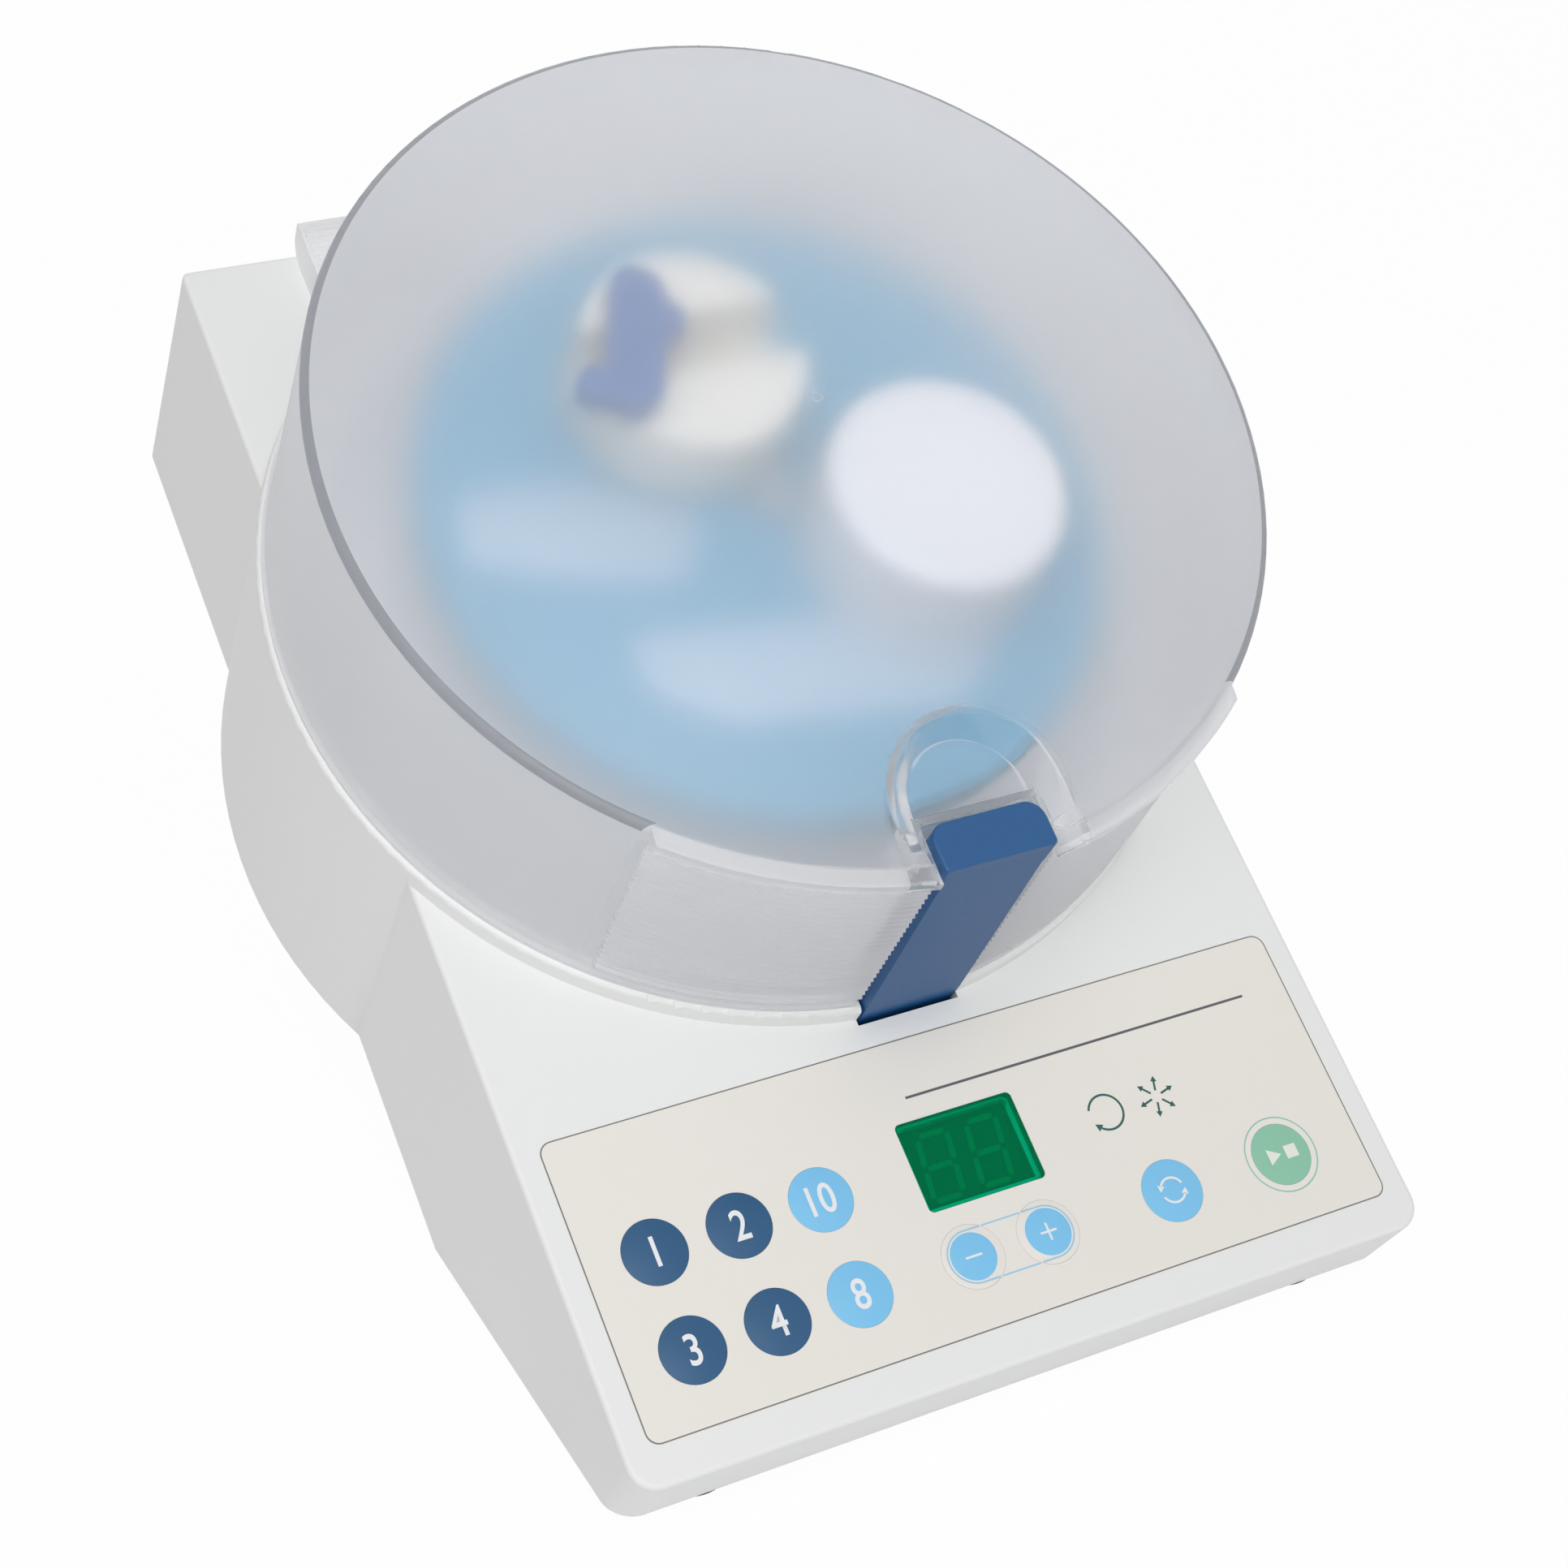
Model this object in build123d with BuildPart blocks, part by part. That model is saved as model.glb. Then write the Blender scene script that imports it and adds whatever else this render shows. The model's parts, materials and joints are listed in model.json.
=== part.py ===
from build123d import *
import math
import os

os.makedirs("parts", exist_ok=True)

# A rotary capsule mixer: a slab-shaped console leans towards the user on its chamfered
# nose and on a rear pedestal. A drum with a frosted lid stands on the slab, and a rotor
# with a planet capsule holder turns inside it.
# World frame: +X right, +Y back, +Z up, origin on the table under the middle.
# Deck frame: origin on the drum axis at the slab's underside, u across, v to the rear
# along the slab, w square to the slab.

# driving dimensions, mm and degrees
tilt = 36.5                     # slope of the slab
foot_height = 3.0
axis_setback = 45.0             # world Y of the drum axis at the slab's underside
deck_width = 165.0
deck_top = 70.5                 # slab thickness
front_v = -163.0                # front edge, from the drum axis
front_lip = 18.0                # height of the front face
rear_bottom_v = 102.6
rear_top_v = 97.7
wall = 2.8
drum_radius = 93.6
ring_top = 74.8                 # top of the drum's upstand
ring_inner = 86.5
lid_rim_w = 129.6
lid_dome_rise = 9.0
lid_wall = 2.0
lid_radius_foot = 91.9
lid_radius_rim = 91.3
flange_radius = 93.3
grip_half = 58.0                # half width of the front flange and of the ribbed grip
hinge_v = 93.0
hinge_w = 76.0
hinge_half = 59.0               # half length of the lid's hinge bar
latch_half = 10.2
latch_pivot_v = -88.8
latch_pivot_w = 65.5
rotor_top = 104.0
rotor_radius = 68.0
planet_radius = 27.0            # orbit of the capsule holder
planet_angle = 112.0
weight_orbit = 29.0             # orbit of the counterweight
weight_angle = -33.0
sun_radius = 18.0
planet_wheel_radius = 9.0
shaft_radius = 4.0
label_half = 77.2
label_front = 7.5               # label's edges, behind the front edge
label_rear = 63.9
label_thick = 0.6
key_radius = 6.15
key_front_row = 20.85           # key rows, behind the front edge
key_rear_row = 39.35
key_travel = 0.4
running = 0.05                  # radial running clearance
pedestal_width = 84.0
pedestal_front = 14.0           # world Y
pedestal_back = 98.0

sin_t = math.sin(math.radians(tilt))
cos_t = math.cos(math.radians(tilt))
half_width = deck_width / 2
lip_bottom = deck_top - front_lip
kink_v = front_v + lip_bottom / math.tan(math.radians(tilt))
axis_height = foot_height - kink_v * sin_t

deck = Plane(origin=(0, axis_setback, axis_height), x_dir=(1, 0, 0), z_dir=(0, -sin_t, cos_t))
side = Plane(origin=deck.origin, x_dir=deck.y_dir, z_dir=(1, 0, 0))
drum_axis = Axis(deck.origin, deck.z_dir)


def radial_plane(degrees):
    """Plane through the drum axis: local x runs outwards at this angle from +X, local y is w."""
    outward = deck.x_dir.rotate(drum_axis, degrees)
    return Plane(origin=deck.origin, x_dir=outward, z_dir=outward.cross(deck.z_dir))


def deck_point(u, v, w):
    return deck.from_local_coords(Vector(u, v, w))


def deck_plane_at(u, v, w):
    """Plane parallel to the deck with its origin at a point of the deck frame."""
    return Plane(origin=deck_point(u, v, w), x_dir=deck.x_dir, z_dir=deck.z_dir)


def side_plane_at(u):
    """Side plane moved across the slab."""
    return side.offset(u)


def cap_middle(base_radius, rise):
    """Rise of a spherical cap at half its base radius, so that its centre stays on the axis."""
    sphere = (base_radius ** 2 + rise ** 2) / (2 * rise)
    return rise - sphere + math.sqrt(sphere ** 2 - (base_radius / 2) ** 2)


def save(builder, name):
    builder.part.label = name
    export_step(builder.part, f"parts/{name}.step")


def turned(points, plane=None):
    """One closed profile of (radius, w) points, turned about the drum axis."""
    with BuildPart() as piece:
        with BuildSketch(plane or radial_plane(0)):
            with BuildLine():
                Polyline(*points, close=True)
            make_face()
        revolve(axis=drum_axis)
    return piece


def ring(outer, inner, low, high):
    """A plain ring about the drum axis."""
    with BuildPart() as piece:
        with BuildSketch(deck.offset(low)):
            Circle(outer)
            if inner > 0:
                Circle(inner, mode=Mode.SUBTRACT)
        extrude(amount=high - low)
    return piece


def post(u, v, low, high, outer, inner=0):
    """A round post or tube parallel to the drum axis."""
    with BuildPart() as piece:
        with BuildSketch(deck_plane_at(u, v, low)):
            Circle(outer)
            if inner > 0:
                Circle(inner, mode=Mode.SUBTRACT)
        extrude(amount=high - low)
    return piece


# ---------------------------------------------------------------- key and label layout
key_layout = {
    "preset_key_1": (-64.05, key_rear_row),
    "preset_key_2": (-47.55, key_rear_row),
    "time_key_10": (-31.15, key_rear_row),
    "preset_key_3": (-64.05, key_front_row),
    "preset_key_4": (-47.55, key_front_row),
    "time_key_8": (-31.15, key_front_row),
    "minus_key": (-7.9, key_front_row),
    "plus_key": (7.9, key_front_row),
    "mode_key": (35.1, key_front_row),
    "start_key": (59.9, key_front_row),
}
key_spots = [(u, front_v + row) for u, row in key_layout.values()]
window_v = front_v + 39.55
window_size = (24.5, 17.5)
window_step = 1.0               # ledge that carries the display window
window_floor = deck_top - 2.0
key_pocket = 1.9                # depth of the pockets under the keys

# ---------------------------------------------------------------- upper housing
inner_drum = drum_radius - wall
ledge_radius = 84.0
hinge_bay = hinge_half + 0.6
ear_spots = (-40.0, 40.0)
ear_width = 6.0
ear_radius = 2.8
pin_radius = 1.5
latch_slot = latch_half + 0.5
latch_slot_front = -94.2
latch_slot_rear = -83.0
latch_ear_width = 3.0
front_corner = 5.5
front_post_spots = [(-60, -64), (60, -64)]      # world X and Y
rear_post_spots = [(-70, 84), (70, 84)]         # deck u and v
post_radius = 4.5
screw_radius = 1.5
screw_depth = 12.0
base_gap = 0.3
base_thick = 2.5
seal_outer = 91.6
seal_inner = 89.6
seal_floor = ring_top - 1.2

with BuildPart() as front_posts:
    with BuildSketch(Plane.XY.offset(foot_height + base_gap + base_thick)):
        with Locations(*front_post_spots):
            Circle(post_radius)
    extrude(amount=80)
    split(bisect_by=deck.offset(deck_top - 0.5), keep=Keep.BOTTOM)

with BuildPart() as upper_housing:
    with BuildSketch(side):
        with BuildLine():
            Polyline(
                (rear_top_v, deck_top),
                (rear_bottom_v, 0),
                (kink_v, 0),
                (front_v, lip_bottom),
                (front_v, deck_top),
                close=True,
            )
        make_face()
    extrude(amount=half_width, both=True)
    corner_edges = upper_housing.edges().filter_by(drum_axis)
    fillet(corner_edges.sort_by(Axis(deck.origin, deck.y_dir))[:2], radius=front_corner)
    rear_face = upper_housing.faces().sort_by(Axis(deck.origin, deck.y_dir))[-1]
    fillet(rear_face.edges().filter_by(Axis.X, reverse=True), radius=1.5)
    deck_face = upper_housing.faces().sort_by(drum_axis)[-1]
    fillet(deck_face.edges(), radius=1.0)
    # the drum, which bulges past both sides
    with BuildSketch(deck):
        Circle(drum_radius)
    extrude(amount=ring_top)
    # hollow slab, open underneath
    with BuildSketch(side):
        with BuildLine():
            Polyline(
                (rear_top_v - wall, deck_top - wall),
                (rear_bottom_v - wall, -1),
                (kink_v, -1),
                (front_v + wall, lip_bottom - wall * math.tan(math.radians(tilt)) - 1),
                (front_v + wall, deck_top - wall),
                close=True,
            )
        make_face()
    extrude(amount=half_width - wall, both=True, mode=Mode.SUBTRACT)
    with BuildSketch(deck.offset(-1)):
        Circle(inner_drum)
    extrude(amount=deck_top - wall + 1, mode=Mode.SUBTRACT)
    with BuildSketch(deck.offset(deck_top - wall - 1)):
        Circle(ledge_radius)
    extrude(amount=10, mode=Mode.SUBTRACT)
    with BuildSketch(deck.offset(deck_top)):
        Circle(ring_inner)
    extrude(amount=10, mode=Mode.SUBTRACT)
    # posts for the base screws: upright over the nose, square to the slab at the rear
    add(front_posts.part)
    with BuildSketch(deck.offset(base_gap + base_thick)):
        with Locations(*rear_post_spots):
            Circle(post_radius)
    extrude(amount=deck_top - wall - base_gap - base_thick)
    with BuildSketch(Plane.XY.offset(foot_height + base_gap + base_thick)):
        with Locations(*front_post_spots):
            Circle(screw_radius)
    extrude(amount=screw_depth, mode=Mode.SUBTRACT)
    with BuildSketch(deck.offset(base_gap + base_thick)):
        with Locations(*rear_post_spots):
            Circle(screw_radius)
    extrude(amount=screw_depth, mode=Mode.SUBTRACT)
    # the drum's foot is trimmed level with the nose
    split(bisect_by=Plane.XY.offset(foot_height), keep=Keep.TOP)
    outer_rim = upper_housing.edges().filter_by(GeomType.CIRCLE).filter_by(
        lambda e: abs(e.radius - drum_radius) < 0.01
    )
    fillet(outer_rim.sort_by(drum_axis)[-1], radius=1.2)
    # the upstand stops at the hinge bay
    with BuildSketch(deck_plane_at(0, 80, deck_top)):
        Rectangle(2 * hinge_bay, 44)
    extrude(amount=10, mode=Mode.SUBTRACT)
    # groove for the lid seal
    with BuildSketch(deck.offset(seal_floor)):
        Circle(seal_outer)
        Circle(seal_inner, mode=Mode.SUBTRACT)
    extrude(amount=10, mode=Mode.SUBTRACT)
    # ears for the hinge pins
    for spot in ear_spots:
        with BuildSketch(side_plane_at(spot - ear_width / 2)):
            with Locations((hinge_v, hinge_w)):
                Circle(ear_radius)
            with Locations((hinge_v, (hinge_w + deck_top) / 2 - 0.5)):
                Rectangle(2 * ear_radius, hinge_w - deck_top + 1)
            with Locations((hinge_v, hinge_w)):
                Circle(pin_radius, mode=Mode.SUBTRACT)
        extrude(amount=ear_width)
    # slot for the latch through upstand and deck, with ears for its pin below
    with BuildSketch(deck_plane_at(0, (latch_slot_front + latch_slot_rear) / 2, deck_top - wall - 1)):
        Rectangle(2 * latch_slot, latch_slot_rear - latch_slot_front)
    extrude(amount=20, mode=Mode.SUBTRACT)
    for edge in (-1, 1):
        ear_start = latch_slot if edge > 0 else -latch_slot - latch_ear_width
        with BuildSketch(side_plane_at(ear_start)):
            with Locations((latch_pivot_v, latch_pivot_w)):
                Circle(4.2)
            with Locations((latch_pivot_v, (latch_pivot_w + deck_top - wall) / 2 + 0.3)):
                Rectangle(8.4, deck_top - wall - latch_pivot_w + 0.6)
            with Locations((latch_pivot_v, latch_pivot_w)):
                Circle(pin_radius, mode=Mode.SUBTRACT)
        extrude(amount=latch_ear_width)
    # shallow bed for the front label
    with BuildSketch(deck_plane_at(0, front_v + (label_front + label_rear) / 2, deck_top - label_thick)):
        RectangleRounded(2 * label_half + 0.5, label_rear - label_front + 0.5, 2.5)
    extrude(amount=5, mode=Mode.SUBTRACT)
    # pockets and stem holes for the keys
    with BuildSketch(deck.offset(deck_top - key_pocket)):
        with Locations(*key_spots):
            Circle(key_radius + 0.35)
    extrude(amount=5, mode=Mode.SUBTRACT)
    with BuildSketch(deck.offset(deck_top - wall - 1)):
        with Locations(*key_spots):
            Circle(3.3)
    extrude(amount=5, mode=Mode.SUBTRACT)
    # stepped opening for the display window
    with BuildSketch(deck_plane_at(0, window_v, window_floor)):
        RectangleRounded(window_size[0] + 0.2, window_size[1] + 0.2, 1.1)
    extrude(amount=5, mode=Mode.SUBTRACT)
    with BuildSketch(deck_plane_at(0, window_v, deck_top - wall - 1)):
        Rectangle(window_size[0] - 2 * window_step, window_size[1] - 2 * window_step)
    extrude(amount=5, mode=Mode.SUBTRACT)
save(upper_housing, "upper_housing")

# ---------------------------------------------------------------- base and pedestal
pedestal_mid = (pedestal_front + pedestal_back) / 2
pedestal_depth = pedestal_back - pedestal_front
pedestal_wall = 3.0
kink_point = deck_point(0, kink_v, 0)
nose_point = deck_point(0, front_v, lip_bottom)
inlet_x = -17.0
inlet_z = 36.0
inlet_size = (27.0, 20.0)
drawer_z = 15.0
drawer_size = (13.0, 8.0)
rocker_x = 20.0
rocker_z = 36.0
rocker_size = (13.0, 19.0)
foot_spots = [(-64, -108), (64, -108), (-30, 84), (30, 84)]
foot_radius = 7.0
vent_pitch = 5.0
power_board_z = 11.0
power_board_y = -80.0
power_board_size = (96.0, 44.0)
power_board_corners = [(x, power_board_y + y) for x in (-43, 43) for y in (-17, 17)]

with BuildPart() as base_housing:
    with BuildSketch(Plane.XY.offset(foot_height)):
        with Locations((0, pedestal_mid)):
            RectangleRounded(pedestal_width, pedestal_depth, 16)
    extrude(amount=150)
    split(bisect_by=deck.offset(base_gap + base_thick), keep=Keep.BOTTOM)
    fillet(base_housing.faces().sort_by(Axis.Z)[0].edges(), radius=1.5)
    # floor under the slab
    with BuildSketch(deck.offset(base_gap)):
        with Locations((0, (kink_v + rear_bottom_v - wall - base_gap) / 2)):
            Rectangle(deck_width - 2 * (wall + base_gap), rear_bottom_v - wall - base_gap - kink_v)
        Circle(inner_drum - base_gap)
    extrude(amount=base_thick)
    # level floor of the nose
    nose_plate_front = nose_point.Y + wall / cos_t + base_gap
    with BuildSketch(Plane.XY.offset(foot_height + base_gap)):
        with Locations((0, (nose_plate_front + kink_point.Y + 2) / 2)):
            Rectangle(deck_width - 2 * (wall + base_gap), kink_point.Y + 2 - nose_plate_front)
    extrude(amount=base_thick)
    # inside of the pedestal, open into the slab
    with BuildSketch(Plane.XY.offset(foot_height + pedestal_wall)):
        with Locations((0, pedestal_mid)):
            RectangleRounded(pedestal_width - 2 * pedestal_wall, pedestal_depth - 2 * pedestal_wall, 13)
    extrude(amount=150, mode=Mode.SUBTRACT)
    # rear openings for inlet, fuse drawer and rocker
    with BuildSketch(Plane.XZ.offset(-pedestal_back - 1)):
        with Locations((inlet_x, inlet_z)):
            Rectangle(inlet_size[0] + 0.2, inlet_size[1] + 0.2)
        with Locations((inlet_x, drawer_z)):
            Rectangle(drawer_size[0] + 3.2, drawer_size[1] + 3.2)
        with Locations((rocker_x, rocker_z)):
            Rectangle(rocker_size[0] + 3.2, rocker_size[1] + 3.2)
    extrude(amount=10, mode=Mode.SUBTRACT)
    # standoffs for the power board
    with BuildSketch(Plane.XY.offset(foot_height + base_gap + base_thick)):
        with Locations(*power_board_corners):
            Circle(3)
    extrude(amount=power_board_z - foot_height - base_gap - base_thick)
    # screw holes
    with BuildSketch(Plane.XY):
        with Locations(*front_post_spots):
            Circle(screw_radius + 0.2)
    extrude(amount=foot_height + 8, mode=Mode.SUBTRACT)
    with BuildSketch(deck.offset(-2)):
        with Locations(*rear_post_spots):
            Circle(screw_radius + 0.2)
    extrude(amount=8, mode=Mode.SUBTRACT)
    # cooling slots low in both pedestal flanks
    for flank in (-1, 1):
        with BuildSketch(Plane.YZ.offset(flank * pedestal_width / 2)):
            with Locations(*[(pedestal_mid - 15 + vent_pitch * i, 26) for i in range(7)]):
                SlotOverall(16, 2, rotation=90)
        extrude(amount=pedestal_wall + 1, both=True, mode=Mode.SUBTRACT)
save(base_housing, "base_housing")

with BuildPart() as rubber_feet:
    with BuildSketch():
        with Locations(*foot_spots):
            Circle(foot_radius)
    extrude(amount=foot_height)
    fillet(rubber_feet.faces().group_by(Axis.Z)[0].edges(), radius=0.8)
save(rubber_feet, "rubber_feet")

screw_head = 1.6
with BuildPart() as base_screws:
    for plane, spots in ((Plane.XY.offset(foot_height), front_post_spots), (deck, rear_post_spots)):
        with BuildSketch(plane.offset(base_gap - screw_head)):
            with Locations(*spots):
                Circle(3.2)
        extrude(amount=screw_head)
        with BuildSketch(plane.offset(base_gap)):
            with Locations(*spots):
                Circle(screw_radius)
        extrude(amount=base_thick + screw_depth - 2)
save(base_screws, "base_screws")

# ---------------------------------------------------------------- front label, display and keys
label_v = front_v + (label_front + label_rear) / 2
label_top = deck_top + 0.05
board_low = 60.0
board_thick = 1.6
board_top = board_low + board_thick
board_v = front_v + 35.6
cap_bottom = deck_top - key_pocket + key_travel + 0.1
cap_edge = label_top
cap_crown = 0.35
stem_radius = 2.6
stem_bottom = board_top + 3.2

with BuildPart() as control_label:
    with BuildSketch(deck_plane_at(0, label_v, label_top - label_thick)):
        RectangleRounded(2 * label_half, label_rear - label_front, 2.3)
        with Locations((0, window_v - label_v)):
            RectangleRounded(window_size[0] + 0.2, window_size[1] + 0.2, 1.1, mode=Mode.SUBTRACT)
        with Locations(*[(u, v - label_v) for u, v in key_spots]):
            Circle(key_radius + running, mode=Mode.SUBTRACT)
    extrude(amount=label_thick)
save(control_label, "control_label")

with BuildPart() as display_window:
    with BuildSketch(deck_plane_at(0, window_v, window_floor)):
        RectangleRounded(window_size[0], window_size[1], 1.0)
    extrude(amount=label_top - window_floor)
save(display_window, "display_window")

# each key: crowned cap, and a stem that reaches its dome switch
for name, (key_u, key_row) in key_layout.items():
    with BuildPart() as key:
        with BuildSketch(Plane(deck_plane_at(key_u, front_v + key_row, 0).origin,
                               x_dir=deck.x_dir, z_dir=radial_plane(0).z_dir)):
            with BuildLine():
                Polyline((0, stem_bottom), (stem_radius, stem_bottom), (stem_radius, cap_bottom),
                         (key_radius, cap_bottom), (key_radius, cap_edge))
                ThreePointArc((key_radius, cap_edge),
                              (key_radius / 2, cap_edge + cap_middle(key_radius, cap_crown)),
                              (0, cap_edge + cap_crown))
                Line((0, cap_edge + cap_crown), (0, stem_bottom))
            make_face()
        revolve(axis=Axis(deck_point(key_u, front_v + key_row, 0), deck.z_dir))
    save(key, name)

with BuildPart() as dome_switches:
    with BuildSketch(deck.offset(board_top)):
        with Locations(*key_spots):
            Rectangle(6, 6)
    extrude(amount=1.6)
    with BuildSketch(deck.offset(board_top)):
        with Locations(*key_spots):
            Circle(1.75)
    extrude(amount=2.6)
save(dome_switches, "dome_switches")

standoff_spots = [(u, v) for u in (-71, 71) for v in (board_v - 23.5, board_v + 22)]
with BuildPart() as control_board:
    with BuildSketch(deck_plane_at(0, board_v, board_low)):
        Rectangle(2 * half_width - 16, 52)
    extrude(amount=board_thick)
save(control_board, "control_board")

with BuildPart() as board_standoffs:
    with BuildSketch(deck.offset(board_top)):
        with Locations(*standoff_spots):
            Circle(2.5)
    extrude(amount=deck_top - wall - board_top)
save(board_standoffs, "board_standoffs")

led_top = 67.0
with BuildPart() as led_display:
    with BuildSketch(deck_plane_at(0, window_v, board_top)):
        Rectangle(25.0, 19.0)
    extrude(amount=led_top - board_top)
save(led_display, "led_display")

# two seven-segment digits, slanted a little, standing on the module's face
segment_length = 5.2
segment_width = 1.1
digit_pitch = 10.4
digit_slant = -8
segment_layout = [(0, 6.3, 0), (0, 0, 0), (0, -6.3, 0),
                  (-3.1, 3.15, 90), (3.1, 3.15, 90), (-3.1, -3.15, 90), (3.1, -3.15, 90)]
with BuildPart() as led_digits:
    for digit in (-1, 1):
        for across, up, turn in segment_layout:
            lean = math.tan(math.radians(-digit_slant)) * up
            with BuildSketch(deck_plane_at(digit * digit_pitch / 2 + across + lean, window_v + up, led_top)):
                SlotOverall(segment_length, segment_width, rotation=turn + (digit_slant if turn else 0))
            extrude(amount=0.3)
save(led_digits, "led_digits")

# ---------------------------------------------------------------- lid
lid_foot = ring_top + 0.4
bead_radius = 92.7
rim_rounding = 1.65
flange_slope = 0.7
flange_low = lid_rim_w - 4.2
rib_pitch = 1.86
rib_height = 0.45
rib_count = 25
rib_start = 78.2
grip_raise_foot = 0.6           # how far the grip stands out of the wall, at its foot
grip_raise_rim = 0.2
recess_floor_half = 10.3
recess_floor_v = -77.2
recess_floor_w = 127.7
recess_mouth_half = 17.8
recess_mouth_v = -81.1
recess_mouth_w = 131.0
recess_mouth_slope = 0.169      # the crown falls this much per millimetre to the front
recess_cut_share = 1.6          # the cutter goes on past the mouth
recess_shell_share = 0.8
channel_half = 11.8             # groove in the wall that holds the latch
channel_v = -81.0
web_half = 18.0                 # where the groove's thick corners run out into the wall
web_v = -88.9
web_inner_v = -86.5
channel_roof = 126.8
front_angle = 270
rear_lid_v = 98.3
bar_top = 80.0
dome_start = lid_radius_rim - rim_rounding
dome_inner = dome_start - 0.4
dome_under = lid_radius_rim - lid_wall
recess_round = 1.2


def recess_outline(half, reach):
    """U-shaped outline in the current sketch, with its open end towards the front."""
    Circle(half)
    with Locations((0, -reach / 2)):
        Rectangle(2 * half, reach)


def recess_half(share):
    return recess_floor_half + share * (recess_mouth_half - recess_floor_half)


def recess_plane(share, drop=0):
    """Plane of the pocket's outline, from its floor (0) to its mouth on the crown (1)."""
    centre_v = recess_floor_v + share * (recess_mouth_v - recess_floor_v)
    centre_w = recess_floor_w + share * (recess_mouth_w - recess_floor_w) - drop
    lean = math.degrees(math.atan(share * recess_mouth_slope))
    return deck_plane_at(0, centre_v, centre_w).rotated((lean, 0, 0))


def web_points():
    """Outline of the groove's walls, with a thick corner on each side where they meet the drum wall."""
    outer_half = channel_half + lid_wall - 0.2
    right = [(outer_half, channel_v + lid_wall), (outer_half, web_inner_v), (web_half, web_v), (web_half, -99)]
    return [(-u, v) for u, v in reversed(right)] + right


def on_mouth(edge):
    """True for an edge of the pocket's mouth, on the crown or on the flange."""
    lowest = lid_rim_w - flange_slope - 0.25
    spots = [deck.to_local_coords(edge @ share) for share in (0.1, 0.5, 0.9)]
    return all(spot.Z > lowest and (abs(spot.X) > channel_half + 0.8 or spot.Y > recess_floor_v) for spot in spots)


def wall_radius(w):
    """Outer radius of the lid's tapered wall."""
    return lid_radius_foot + (lid_radius_rim - lid_radius_foot) * (w - lid_foot) / (lid_rim_w - lid_foot)


def grip_radius(w):
    """Radius at the foot of the grip's ribs."""
    raised = grip_raise_foot + (grip_raise_rim - grip_raise_foot) * (w - lid_foot) / (lid_rim_w - lid_foot)
    return wall_radius(w) + raised


grip_angle = math.degrees(math.asin(grip_half / lid_radius_rim)) + 2
rib_root = lid_radius_rim - 1.0

with BuildPart() as lid_grip:
    # projecting front flange
    with BuildSketch(radial_plane(front_angle - grip_angle)):
        with BuildLine():
            Polyline((dome_start - 0.4, lid_rim_w), (dome_start, lid_rim_w),
                     (flange_radius - 0.3, lid_rim_w - flange_slope),
                     (flange_radius, lid_rim_w - flange_slope - 0.3), (flange_radius, flange_low + 0.6),
                     (flange_radius - 0.6, flange_low), (dome_start - 0.4, flange_low), close=True)
        make_face()
    revolve(axis=drum_axis, revolution_arc=2 * grip_angle)
    # fine ribs below it
    with BuildSketch(radial_plane(front_angle - grip_angle)):
        for i in range(rib_count):
            low = rib_start + i * rib_pitch
            with BuildLine():
                Polyline((rib_root, low), (grip_radius(low), low),
                         (grip_radius(low) + rib_height, low + rib_pitch * 0.45),
                         (grip_radius(low), low + rib_pitch * 0.9), (rib_root, low + rib_pitch * 0.9),
                         close=True)
            make_face()
    revolve(axis=drum_axis, revolution_arc=2 * grip_angle)
    # both end in a straight cut
    with BuildSketch(deck.offset(lid_foot)):
        with Locations((-grip_half - 10, 0), (grip_half + 10, 0)):
            Rectangle(20, 2 * flange_radius)
    extrude(amount=lid_rim_w - lid_foot + 1, mode=Mode.SUBTRACT)

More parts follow.
